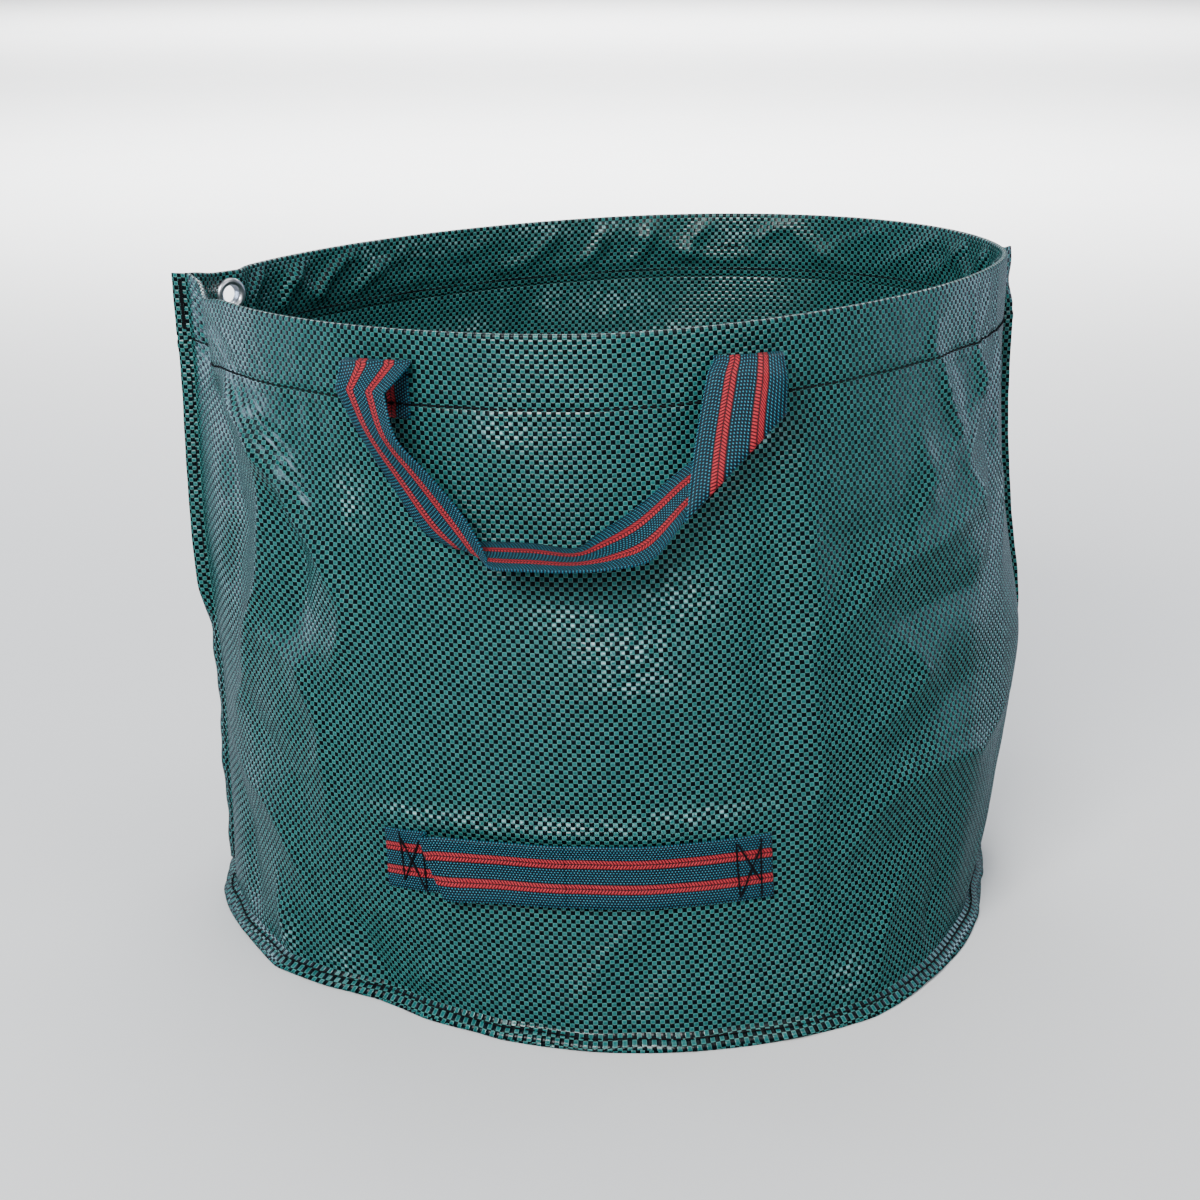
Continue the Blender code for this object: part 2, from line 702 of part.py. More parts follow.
def loop_route(half_spacing):
    """Middle line of the hanging loop, across and down, from the left hinge to the right."""
    left = -half_spacing + LOOP_SAG_LEFT
    return [
        (-half_spacing, 0.0),
        (-half_spacing, -LOOP_UPRIGHT),
        (left * 0.5 - half_spacing * 0.5, -(LOOP_UPRIGHT + LOOP_DROP - LOOP_CORNER_RISE) / 2),
        (left, -LOOP_DROP + LOOP_CORNER_RISE),
        (left + LOOP_CORNER_WIDTH, -LOOP_DROP + LOOP_CORNER_RISE * 0.25),
        (left + LOOP_CORNER_WIDTH + LOOP_FLAT, -LOOP_DROP),
        (half_spacing - LOOP_SAG_RIGHT, -LOOP_DROP),
    ] + [
        (half_spacing - LOOP_SAG_RIGHT * in_share, -LOOP_DROP * down_share)
        for in_share, down_share in LOOP_CURVE
    ] + [
        (half_spacing, -LOOP_UPRIGHT),
        (half_spacing, 0.0),
    ]


def handle_loop(name, frame, material):
    """Hanging part of a handle, from hinge line to hinge line, flat in front of the wall."""
    route = [Vector((x, z)) for x, z in loop_route(frame.half_spacing)]
    half = WEBBING_WIDTH / 2
    thick = WEBBING / 2
    sections = []

    def section(middle, side, share, lift):
        edge_points = []
        for across in (-1.0, 0.0, 1.0):
            place = middle + side * (across * half)
            y = frame.rest_y(place.x, place.y)
            edge_points.append((place, y))
        ring = [frame.world(p.x, y + thick * share, p.y + lift) for p, y in edge_points]
        ring += [frame.world(p.x, y - thick * share, p.y + lift) for p, y in reversed(edge_points)]
        return ring

    last = len(route) - 1
    for i, middle in enumerate(route):
        before = (middle - route[max(i - 1, 0)]).normalized()
        after = (route[min(i + 1, last)] - middle).normalized()
        first = Vector((-before.y, before.x)) if i else Vector((-after.y, after.x))
        second = Vector((-after.y, after.x)) if i < last else first
        side = (first + second) / (1.0 + first.dot(second))
        rounded = [section(middle, side, share, thick * rise) for share, rise in KNUCKLE]
        if i == 0:
            sections += rounded
        sections.append(section(middle, side, 1.0, 0.0))
        if i == last:
            sections += reversed(rounded)
    loop = sweep(name, sections, material)
    loop.data.transform(loop.matrix_world.Translation(-frame.origin))
    loop.location = frame.origin


def tab_stitch_rows(name, tab, material):
    """Row of stitches at the top of a tab, in front of it and behind the hem."""
    inset = TAB_STITCH_INSET / FACET
    stations = span(tab[0] + inset, tab[1] - inset)
    low = TAB_STITCH_DEPTH + THREAD_WIDTH / 2
    high = TAB_STITCH_DEPTH - THREAD_WIDTH / 2
    front = -GAP - WEBBING - GAP
    band(name + "_stitches", stations, low, high,
         lambda k: (front - THREAD_HEIGHT, front), material, at_depth)
    back = HEM_THICKNESS + GAP
    band(name + "_bobbin_stitches", stations, low, high,
         lambda k: (back, back + THREAD_HEIGHT), material, at_depth)


def carrying_handle(name, frame, webbing, thread):
    for side_name, tab, side in (("left", frame.tabs[0], -1), ("right", frame.tabs[1], 1)):
        tab_name = name + "_handle_" + side_name + "_tab"
        handle_tab(tab_name, frame, tab, side, webbing)
        tab_stitch_rows(tab_name, tab, thread)
    handle_loop(name + "_handle_loop", frame, webbing)


# Low grab strap

def grab_strap(webbing, thread):
    """Strap with two sewn ends and a slack middle that a hand pulls away from the wall."""
    low = STRAP_HEIGHT - WEBBING_WIDTH / 2
    high = STRAP_HEIGHT + WEBBING_WIDTH / 2
    outer_left = station_at_x(0, STRAP_LEFT_X, STRAP_HEIGHT)
    outer_right = station_at_x(0, STRAP_RIGHT_X, STRAP_HEIGHT)
    facet = (plan_point(PANEL_FACETS // 2, STRAP_HEIGHT)
             - plan_point(PANEL_FACETS // 2 + 1, STRAP_HEIGHT)).length
    end = STRAP_END_LENGTH / facet
    inner_left = outer_left + end
    inner_right = outer_right - end
    flat = (-GAP - WEBBING, -GAP)
    band("grab_strap_left_end", span(outer_left, inner_left), low, high,
         lambda k: flat, webbing, at_height)
    band("grab_strap_right_end", span(inner_right, outer_right), low, high,
         lambda k: flat, webbing, at_height)
    step = STRAP_STEP / facet
    start = inner_left + GAP / facet
    stop = inner_right - GAP / facet
    stations = set(span(start, stop))
    stations.update(start + step * share for share in STRAP_STEP_SHARES)

    def slack(k):
        rise = 0.5 - 0.5 * math.cos(math.pi * min((k - start) / step, 1.0))
        fall = max(k - start - step, 0.0) / (stop - start - step)
        return STRAP_SLACK * rise * (0.5 + 0.5 * math.cos(math.pi * fall))

    def slack_band(k):
        change = (slack(k + SLOPE_STEP) - slack(k - SLOPE_STEP)) / (2 * SLOPE_STEP * facet)
        if k - start < SLOPE_STEP or stop - k < SLOPE_STEP:
            change = 0.0
        half = WEBBING / 2 * math.hypot(1.0, change)
        middle = -GAP - WEBBING / 2 - slack(k)
        return middle - half, middle + half

    band("grab_strap", sorted(stations), low, high, slack_band, webbing, at_height)
    box_stitches("grab_strap_left_stitches", outer_left, inner_left, facet, low, high, thread)
    box_stitches("grab_strap_right_stitches", inner_right, outer_right, facet, low, high, thread)


def stitch_run(name, start, end, offsets, material):
    """Straight run of thread between two (station, height) points of the wall."""
    pieces = [0.0]
    if start[0] != end[0]:
        for k in span(min(start[0], end[0]), max(start[0], end[0]))[1:-1]:
            pieces.append((k - start[0]) / (end[0] - start[0]))
    pieces.append(1.0)
    travel = Vector((end[0] - start[0], end[1] - start[1]))
    facet = (plan_point(10, STRAP_HEIGHT) - plan_point(11, STRAP_HEIGHT)).length
    flat = Vector((travel.x * facet, travel.y)).normalized()
    side = Vector((-flat.y / facet, flat.x)) * (THREAD_WIDTH / 2)
    sections = []
    for share in sorted(pieces):
        here = Vector(start) + travel * share
        section = []
        for across, offset in ((-1, offsets[0]), (1, offsets[0]), (1, offsets[1]),
                               (-1, offsets[1])):
            place = here + side * across
            section.append(at_height(place.x, place.y, offset))
        sections.append(section)
    return sweep(name, sections, material)


def box_stitches(name, left, right, facet, low, high, material):
    """Two upright rows of stitches joined by a cross."""
    inset = STITCH_INSET / facet
    near = left + inset
    far = right - inset
    bottom = low + STITCH_INSET
    top = high - STITCH_INSET
    front = -GAP - WEBBING - GAP
    runs = [((near, bottom), (near, top)), ((far, bottom), (far, top)),
            ((near, bottom), (far, top)), ((near, top), (far, bottom))]
    pieces = []
    for i, (start, end) in enumerate(runs):
        label = name if i == 0 else name + "_run_" + str(i)
        nest = THREAD_NEST * i
        offsets = (front - THREAD_HEIGHT + nest, front - nest)
        pieces.append(stitch_run(label, start, end, offsets, material))
    for other in pieces[1:]:
        other.hide_render = True
        other.display_type = "WIRE"
        join = pieces[0].modifiers.new(other.name, "BOOLEAN")
        join.operation = "UNION"
        join.solver = "EXACT"
        join.object = other


def build():
    clear_scene()
    woven = make_material("woven_fabric", (0.025, 0.16, 0.13), 0.42)
    lining = make_material("base_fabric", (0.022, 0.14, 0.115), 0.45)
    webbing = make_material("webbing", (0.015, 0.10, 0.14), 0.85)
    thread = make_material("thread", (0.006, 0.008, 0.012), 0.7)
    steel = make_material("eyelet_steel", (0.62, 0.62, 0.60), 0.25, 1.0)
    plastic = make_material("strip_plastic", (0.03, 0.03, 0.032), 0.4)
    side_panel("front_panel", 0, 1, woven)
    back = side_panel("back_panel", PANEL_FACETS, -1, woven)
    base_panel(lining)
    rim_strip(plastic)
    centre, axis, hole_radius = eyelet(steel, steel)
    punch_eyelet_hole(back, centre, axis, hole_radius)
    front_frame = HandleFrame(0, FRONT_TAB_X)
    back_frame = HandleFrame(PANEL_FACETS, BACK_TAB_X)
    hem_threads(front_frame.tabs + back_frame.tabs, thread)
    side_seam_threads(thread)
    bar_tack(thread)
    base_seam_thread(thread)
    carrying_handle("front", front_frame, webbing, thread)
    carrying_handle("back", back_frame, webbing, thread)
    grab_strap(webbing, thread)


build()
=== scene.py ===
"""Looks of a garden leaf bag of woven plastic, standing open on a pale floor.

The cloth, the webbing and the thread are made as the real ones are: panels of
tape cloth folded into a hem and sewn together, lengths of striped webbing
folded over, and one stitch after another.

All sizes are in metres. Along the wall, u runs from the left seam across the
front to the right seam and on round the back. Depth runs down from the rim.
"""

import math
from functools import partial

import bmesh
import bpy
import numpy as np
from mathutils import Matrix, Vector


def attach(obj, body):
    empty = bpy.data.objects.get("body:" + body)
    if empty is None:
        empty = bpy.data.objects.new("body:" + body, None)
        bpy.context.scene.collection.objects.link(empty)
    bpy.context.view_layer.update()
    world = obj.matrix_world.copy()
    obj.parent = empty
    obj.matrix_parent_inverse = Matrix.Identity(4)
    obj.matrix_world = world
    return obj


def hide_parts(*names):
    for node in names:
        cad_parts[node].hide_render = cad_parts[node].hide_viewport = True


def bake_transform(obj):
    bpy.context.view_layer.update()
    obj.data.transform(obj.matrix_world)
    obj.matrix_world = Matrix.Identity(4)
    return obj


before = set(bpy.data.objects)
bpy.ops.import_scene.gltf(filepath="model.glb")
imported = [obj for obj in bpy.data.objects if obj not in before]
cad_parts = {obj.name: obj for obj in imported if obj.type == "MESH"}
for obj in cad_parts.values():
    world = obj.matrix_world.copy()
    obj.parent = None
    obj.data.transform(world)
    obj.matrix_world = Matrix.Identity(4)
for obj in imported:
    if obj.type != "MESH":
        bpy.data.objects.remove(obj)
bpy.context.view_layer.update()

MM = 0.001
TO_MM = 1000.0

# The bag as it stands open
BAG_HEIGHT = 0.385
BASE_RADIUS = 0.232
MOUTH_HALF_WIDTH = 0.239
MOUTH_FRONT_DEPTH = 0.220
MOUTH_BACK_DEPTH = 0.217
MOUTH_CENTRE = (-0.004, 0.008)
MOUTH_FRONT_POWER = 1.68
MOUTH_BACK_POWER = 1.87
MOUTH_SKEW = 0.030
MOUTH_BACK_SHIFT = 0.025
RIM_SLOPE = (0.022, -0.011)
CORNER_PULL = 0.013
CORNER_REACH = 0.020
CORNER_TURN = math.radians(-26.0)
BASE_SEAM_TURN = math.radians(8.0)
BULGE = 0.010
BULGE_PLACE = 0.465
BULGE_SPREAD = 0.14
STRAIGHT_TOP = 0.062
FOOT_HEIGHT = 0.007
FOOT_EDGE = 0.0014
FOOT_REACH = 0.0085

# Cloth, webbing and thread
CLOTH = 0.0005
TAPE = 0.00245
WEBBING = 0.0014
WEBBING_WIDTH = 0.036
GAP = 0.0003
HEM_DEPTH = 0.043
HEM_STITCH_DEPTH = 0.038
HEM_POCKET = 0.0021
WALL_OF_HEM = CLOTH + HEM_POCKET + CLOTH
TAB_ROW_DEPTH = 0.0225
SIDE_FLANGE = 0.0085
SIDE_FLANGE_START = 0.014
MESH_STEP = 0.0032

# The soft wall sinks and bulges: (place along u, height, reach along u, reach up, outwards), in mm
SLUMPS = (
    (-15, 215, 80, 95, 7.0),
    (-10, 60, 95, 75, 8.5),
    (10, 0, 75, 40, 4.0),
    (686, 150, 60, 55, 9.0),
    (500, 0, 110, 40, 9.0),
    (345, 0, 120, 40, 6.0),
    (520, 220, 60, 60, -5.0),
    (610, 0, 50, 35, -2.0),
)
# The foot's line on the ground: (place along u, outwards), in mm
FOOT_LINE = (
    (0, 2.0), (21, 3.6), (68, 4.2), (90, 6.0), (111, 8.5), (129, 4.0), (146, 0.0), (161, -5.0),
    (178, -9.0), (194, -8.8), (213, -6.0), (243, -5.2), (258, -2.4), (285, -1.2), (310, 0.0),
    (455, 1.0), (475, -2.3), (502, -7.5), (531, -9.0), (640, -9.0), (690, -2.0), (740, 0.0), (1330, 0.0),
)
FOOT_LINE_REACH = 0.042
# The rim at the left corner: up at the seam, and down a little beyond it
LIMP_RISE = 0.0045
LIMP_RISE_REACH = 0.020
LIMP_DIP = 0.0030
LIMP_DIP_PLACE = 0.042
LIMP_DIP_REACH = 0.016


# Materials

# The size of what repeats in them. 1.0 / 170 is a fleck of 5.9 mm: that many of them lie along a metre
FILM_FLECK = 1.0 / 170
FILM_STREAK = 1.0 / 420
FILM_WRINKLE = 1.0 / 70
CREASED_SHEEN_TURN = math.radians(36.0)
KNOB_WIDTH = 0.00142
KNOB_LENGTH = 0.00175
STRIPE_PLACE = 0.0072
STRIPE_HALF_WIDTH = 0.0027
SLANTED_YARN = 1.0 / 360
THREAD_TWIST = 1.0 / 900
PLATING_RUB = 1.0 / 260
STRIP_LINE = 0.0025
ROLLER_MOTTLE = 1.0 / 3

# Settings of nodes that are used more than once
SMOOTH = {"interpolation_type": "SMOOTHSTEP"}
COLOUR = {"data_type": "RGBA"}
NUMBER = {"data_type": "FLOAT"}
FLAT = {"noise_dimensions": "2D"}
TIMES = {"operation": "MULTIPLY"}
TIMES_PLUS = {"operation": "MULTIPLY_ADD"}
OVER = {"operation": "DIVIDE"}
BACK_AND_FORTH = {"operation": "PINGPONG"}
SIZE_OF = {"operation": "ABSOLUTE"}


def linear(hex_colour):
    """sRGB hex to the linear colour that a shader takes."""
    channels = [int(hex_colour[i:i + 2], 16) / 255.0 for i in (0, 2, 4)]
    return tuple(c / 12.92 if c <= 0.04045 else ((c + 0.055) / 1.055) ** 2.4 for c in channels) + (1.0,)


def fill(node, inputs):
    """Set a node's sockets. A socket is given a value, another socket or a node, whose result it takes."""
    for key, value in inputs.items():
        if isinstance(value, bpy.types.Node):
            value = next(output for output in value.outputs if output.enabled)
        if isinstance(value, bpy.types.NodeSocket):
            node.id_data.links.new(value, node.inputs[key])
        else:
            node.inputs[key].default_value = value


def add_node(owner, kind, settings=None, inputs=None):
    """Add a node to a material or world, set its properties and fill its sockets."""
    node = owner.node_tree.nodes.new("ShaderNode" + kind)
    for key, value in (settings or {}).items():
        setattr(node, key, value)
    fill(node, inputs or {})
    return node


def new_material(name, values):
    """A material, its shader with these values, and what adds a node to it."""
    material = bpy.data.materials.new(name)
    material.use_nodes = True
    shader = material.node_tree.nodes["Principled BSDF"]
    fill(shader, values)
    return material, shader, partial(add_node, material)


def woven_tape_cloth():
    """Polypropylene tapes woven plain, green up the wall and black round it, under a thin clear film
    of polyethylene: even checks, a small glint on the crown of each tape, a grey sheen at low angles, a
    painted highlight on the edges of the green tapes, painted glints in pale flecks where the film has come
    loose and painted sheen in pale streaks along creases in the film."""
    material, shader, add = new_material("woven_tape_cloth", {"Roughness": 0.27, "IOR": 1.5})
    place = add("UVMap", {"uv_map": "cloth"})
    tapes = add("VectorMath", {"operation": "SCALE"}, {0: place, "Scale": 1.0 / TAPE})
    checks = add("TexChecker", None, {"Vector": tapes, "Scale": 1.0}).outputs["Fac"]
    ways = add("SeparateXYZ", None, {0: tapes})
    # 0 on the edge of a tape and 0.5 in its middle, for the upright tapes and for the level ones
    upright = add("Math", BACK_AND_FORTH, {0: ways.outputs[0], 1: 0.5})
    level = add("Math", BACK_AND_FORTH, {0: ways.outputs[1], 1: 0.5})
    # Each tape is crowned where it passes over another, and nearly flat across its own width
    heights = []
    for along, across in ((level, upright), (upright, level)):
        crown = add("MapRange", SMOOTH, {"Value": along, "From Max": 0.46})
        edge = add("MapRange", SMOOTH, {"Value": across, "From Max": 0.14, "To Min": 0.35})
        heights.append(add("Math", TIMES, {0: crown, 1: edge}))
    green_height, black_height = heights
    height = add("Mix", NUMBER, {0: checks, 2: black_height, 3: green_height})
    # Painted highlight: the green tapes are paler towards their edges, where they curve over the next, and
    # each crossing differs a little
    nearest = add("Math", {"operation": "MINIMUM"}, {0: upright, 1: level})
    rim = add("MapRange", SMOOTH, {"Value": nearest, "From Max": 0.24, "To Min": 1.0, "To Max": 0.0})
    green = add("Mix", COLOUR, {0: rim, 6: linear("0f5f5f"), 7: linear("569691")})
    crossing = add("VectorMath", {"operation": "FLOOR"}, {0: tapes})
    chance = add("TexWhiteNoise", FLAT, {"Vector": crossing})
    uneven = add("MapRange", None, {"Value": chance, "To Min": 0.82, "To Max": 1.12})
    green = add("Mix", {"data_type": "RGBA", "blend_type": "MULTIPLY"}, {0: 1.0, 6: green, 7: uneven})
    black = add("Mix", COLOUR, {0: chance, 6: linear("01060a"), 7: linear("031017")})
    woven = add("Mix", COLOUR, {0: checks, 6: black, 7: green})
    # Between two tapes there is a dark slit: the dark tape beneath shows through it, and shade is painted
    # into it
    slit = add("MapRange", SMOOTH, {"Value": nearest, "From Max": 0.07, "To Min": 0.9, "To Max": 0.0})
    woven = add("Mix", COLOUR, {0: slit, 6: woven, 7: linear("04070a")})
    # Loose film: painted glints in pale flecks on the crowns of the green tapes, tape by tape
    loose = add("Attribute", {"attribute_name": "loose_film"}).outputs["Fac"]
    speckle = add("TexNoise", FLAT,
                  {"Vector": place, "Scale": 1.0 / FILM_FLECK, "Detail": 3.0, "Roughness": 0.7})
    fleck = add("MapRange", SMOOTH, {"Value": speckle, "From Min": 0.42, "From Max": 0.63})
    shown = add("Math", TIMES, {0: loose, 1: fleck})
    glints_on_green = add("Math", TIMES, {0: shown, 1: green_height})
    glints_on_green = add("Math", TIMES, {0: glints_on_green, 1: checks})
    colour = add("Mix", COLOUR, {0: glints_on_green, 6: woven, 7: linear("9fd2d6")})
    # Painted sheen: fine pale streaks run along the film's creases over both tapes
    creased_sheen = add("Attribute", {"attribute_name": "creased_film"}).outputs["Fac"]
    turned = add("VectorRotate", {"rotation_type": "Z_AXIS"}, {"Vector": place, "Angle": -CREASED_SHEEN_TURN})
    drawn_out = add("VectorMath", TIMES, {0: turned, 1: (0.13, 1.0, 1.0)})
    streaks = add("TexNoise", FLAT,
                  {"Vector": drawn_out, "Scale": 1.0 / FILM_STREAK, "Detail": 3.0, "Roughness": 0.6})
    sheen_streaks = add("MapRange", SMOOTH, {"Value": streaks, "From Min": 0.45, "From Max": 0.68, "To Max": 0.62})
    painted_sheen = add("Math", TIMES, {0: creased_sheen, 1: sheen_streaks})
    colour = add("Mix", COLOUR, {0: painted_sheen, 6: colour, 7: linear("8aa6b6")})
    weave = add("Bump", None, {"Strength": 0.6, "Distance": 0.00034, "Height": height})
    wrinkle = add("TexNoise", FLAT,
                  {"Vector": place, "Scale": 1.0 / FILM_WRINKLE, "Detail": 3.0, "Roughness": 0.5})
    strength = add("MapRange", None, {"Value": loose, "To Min": 0.26, "To Max": 0.85})
    film = add("Bump", None, {"Strength": strength, "Distance": 0.0022, "Height": wrinkle, "Normal": weave})
    # The film lies less smoothly over the black tapes, so that they stay dark at low angles
    shine = add("MapRange", None, {"Value": checks, "To Min": 0.22, "To Max": 0.52})
    fill(shader, {"Base Color": colour, "Specular IOR Level": shine, "Normal": film})
    return material


def striped_webbing():
    """Woven polypropylene webbing, teal with two red stripes: rows of knobbly yarn, and stripes of
    slanted yarn that meets in points. Shade is painted between the yarns and a highlight on the knobs'
    crowns."""
    material, shader, add = new_material("striped_webbing",
                                         {"Roughness": 0.6, "IOR": 1.49, "Specular IOR Level": 0.3})
    place = add("UVMap", {"uv_map": "cloth"})
    ways = add("SeparateXYZ", None, {0: place})
    across, along = ways.outputs[0], ways.outputs[1]
    # Knobs of the teal yarn: every second row is set half a knob further on
    columns = add("Math", OVER, {0: across, 1: KNOB_WIDTH})
    column = add("Math", {"operation": "FLOOR"}, {0: columns})
    ribs = add("Math", OVER, {0: along, 1: KNOB_LENGTH})
    shifted = add("Math", TIMES_PLUS, {0: column, 1: 0.5, 2: ribs})
    off_side = add("Math", BACK_AND_FORTH, {0: columns, 1: 0.5})
    off_end = add("Math", BACK_AND_FORTH, {0: shifted, 1: 0.5})
    knob = add("Math", TIMES, {0: off_side, 1: off_end})
    round_knob = add("MapRange", SMOOTH, {"Value": knob, "From Min": 0.02, "From Max": 0.16})
    crown = add("MapRange", SMOOTH, {"Value": knob, "From Min": 0.11, "From Max": 0.22})
    # Painted shade between the knobs and a painted highlight on their crowns
    teal = add("Mix", COLOUR, {0: round_knob, 6: linear("010f18"), 7: linear("06536f")})
    teal = add("Mix", COLOUR, {0: crown, 6: teal, 7: linear("45a3b6")})
    # A stripe has two bands of slanted yarn; painted shade lies between the yarns and in a dark line where
    # the bands meet
    side = add("Math", SIZE_OF, {0: across})
    middle = add("Math", {"operation": "SUBTRACT"}, {0: side, 1: STRIPE_PLACE})
    beside = add("Math", SIZE_OF, {0: middle})
    in_stripe = add("Math", {"operation": "LESS_THAN"}, {0: beside, 1: STRIPE_HALF_WIDTH})
    slant = add("Math", TIMES_PLUS, {0: beside, 1: 1.0 / SLANTED_YARN, 2: ribs})
    off_yarn = add("Math", BACK_AND_FORTH, {0: slant, 1: 0.5})
    off_band = add("Math", BACK_AND_FORTH, {0: beside, 1: STRIPE_HALF_WIDTH / 2})
    yarn = add("MapRange", SMOOTH, {"Value": off_yarn, "From Min": 0.04, "From Max": 0.34})
    band = add("MapRange", SMOOTH, {"Value": off_band, "From Max": 0.0006})
    strand = add("Math", TIMES, {0: yarn, 1: band})
    red = add("Mix", COLOUR, {0: strand, 6: linear("2c0710"), 7: linear("bb2b37")})
    colour = add("Mix", COLOUR, {0: in_stripe, 6: teal, 7: red})
    height = add("Mix", NUMBER, {0: in_stripe, 2: round_knob, 3: strand})
    bump = add("Bump", None, {"Strength": 0.85, "Distance": 0.00045, "Height": height})
    fill(shader, {"Base Color": colour, "Normal": bump})
    return material


def spun_polyester_thread():
    """Spun polyester sewing thread: near black, dull, with a twist."""
    material, shader, add = new_material("spun_polyester_thread",
                                         {"Roughness": 0.9, "IOR": 1.5, "Specular IOR Level": 0.2})
    place = add("UVMap", {"uv_map": "cloth"})
    twist = add("TexWave", {"wave_type": "BANDS", "bands_direction": "DIAGONAL"},
                {"Vector": place, "Scale": 1.0 / THREAD_TWIST}).outputs["Fac"]
    colour = add("Mix", COLOUR, {0: twist, 6: linear("020306"), 7: linear("0b0d14")})
    bump = add("Bump", None, {"Strength": 0.5, "Distance": 0.0002, "Height": twist})
    fill(shader, {"Base Color": colour, "Normal": bump})
    return material


def nickel_plated_steel():
    """Pressed steel with satin nickel plating: cool, soft reflections with rubbed patches."""
    material, shader, add = new_material("nickel_plated_steel", {"Metallic": 1.0})
    place = add("TexCoord").outputs["Object"]
    rub = add("TexNoise", None, {"Vector": place, "Scale": 1.0 / PLATING_RUB, "Detail": 4.0})
    rough = add("MapRange", None, {"Value": rub, "To Min": 0.24, "To Max": 0.42})
    colour = add("Mix", COLOUR, {0: rub, 6: linear("bfc2c8"), 7: linear("e3e5ea")})
    fill(shader, {"Roughness": rough, "Base Color": colour})
    return material


def extruded_strip_plastic():
    """Black polypropylene strip, extruded: dull, with faint lines."""
    material, shader, add = new_material("extruded_strip_plastic", {"Roughness": 0.45, "IOR": 1.49})
    place = add("TexCoord").outputs["Object"]
    lines = add("TexNoise", None, {"Vector": place, "Scale": 1.0 / STRIP_LINE})
    colour = add("Mix", COLOUR, {0: lines, 6: linear("0c0c0e"), 7: linear("1c1c20")})
    fill(shader, {"Base Color": colour})
    return material


def painted_floor():
    """Studio floor painted off-white: dull, with the roller's faint mottle."""
    material, shader, add = new_material("painted_floor", {"Roughness": 0.9, "IOR": 1.5})
    place = add("TexCoord").outputs["Object"]
    mottle = add("TexNoise", None, {"Vector": place, "Scale": 1.0 / ROLLER_MOTTLE, "Detail": 3.0})
    colour = add("Mix", COLOUR, {0: mottle, 6: linear("f0f1f2"), 7: linear("f6f6f6")})
    fill(shader, {"Base Color": colour})
    return material


# The wall's surface

def walked_along(points):
    """How far each point of a row lies from its first, measured along the row."""
    steps = np.linalg.norm(np.diff(points, axis=0), axis=-1)
    return np.concatenate([np.zeros_like(steps[:1]), np.cumsum(steps, axis=0)])


def along_row(s, walked, row):
    """What a row of points or directions has at the places s along it."""
    return np.stack([np.interp(s, walked, row[:, k]) for k in range(3)], axis=-1)


def outline_of_mouth():
    """The mouth as a long row of points, and how far round each of them is."""
    turn = np.linspace(0.0, 2.0 * np.pi, 2881)
    across = -np.cos(turn)
    along = -np.sin(turn)
    depth = np.where(along < 0.0, MOUTH_FRONT_DEPTH, MOUTH_BACK_DEPTH)
    power = np.where(along < 0.0, MOUTH_FRONT_POWER, MOUTH_BACK_POWER)
    x = np.sign(across) * np.abs(across) ** (2.0 / power) * MOUTH_HALF_WIDTH
    y_share = np.sign(along) * np.abs(along) ** (2.0 / power)
    y = y_share * depth + MOUTH_SKEW * x / MOUTH_HALF_WIDTH
    x = x + MOUTH_BACK_SHIFT * np.maximum(y_share, 0.0) ** 1.5
    points = np.stack([x + MOUTH_CENTRE[0], y + MOUTH_CENTRE[1]], axis=1)
    return walked_along(points), points


WALKED, OUTLINE = outline_of_mouth()
ROUND = WALKED[-1]
HALF = ROUND / 2.0
NUDGE = 1e-7
# How far apart the two places are that give the wall's direction
LOOK_ALONG = 0.004


def smoothstep(low, high, value):
    """0 up to low, 1 from high on, and a smooth rise between them."""
    t = np.clip((value - low) / (high - low), 0.0, 1.0)
    return t * t * (3.0 - 2.0 * t)


def mouth(u):
    """Place on the mouth's outline, with the left corner pulled out."""
    u = np.mod(u, ROUND)
    pull = CORNER_PULL * np.exp(-np.minimum(u, ROUND - u) / CORNER_REACH)
    x = np.interp(u, WALKED, OUTLINE[:, 0]) - math.cos(CORNER_TURN) * pull
    y = np.interp(u, WALKED, OUTLINE[:, 1]) - math.sin(CORNER_TURN) * pull
    return x, y


def rim_height(u):
    """Height of the rim: sloped a little, up at the left corner and limp beside it."""
    x, y = mouth(u)
    near = np.minimum(np.mod(u, ROUND), ROUND - np.mod(u, ROUND))
    rise = LIMP_RISE * np.exp(-(near / LIMP_RISE_REACH) ** 2)
    dip = LIMP_DIP * np.exp(-((u - LIMP_DIP_PLACE) / LIMP_DIP_REACH) ** 2)
    return BAG_HEIGHT + RIM_SLOPE[0] * x + RIM_SLOPE[1] * y + (rise - dip)


def slump(u, z):
    """How far the soft wall bulges beyond its even shape."""
    total = np.zeros(np.broadcast(u, z).shape)
    for place, height, reach, reach_up, out in SLUMPS:
        away = np.mod(u - place * MM + HALF, ROUND) - HALF
        up = z - height * MM
        total += out * MM * np.exp(-(away * TO_MM / reach) ** 2 - (up * TO_MM / reach_up) ** 2)
    places, outs = zip(*FOOT_LINE)
    line = np.interp(np.mod(u, ROUND) * TO_MM, places, outs, period=ROUND * TO_MM)
    return total + line * MM * np.exp(-(z / FOOT_LINE_REACH) ** 2)


def foot_angle(u):
    """Which way a place on the wall's foot lies from the middle of the base."""
    return math.pi + BASE_SEAM_TURN + 2.0 * np.pi * u / ROUND


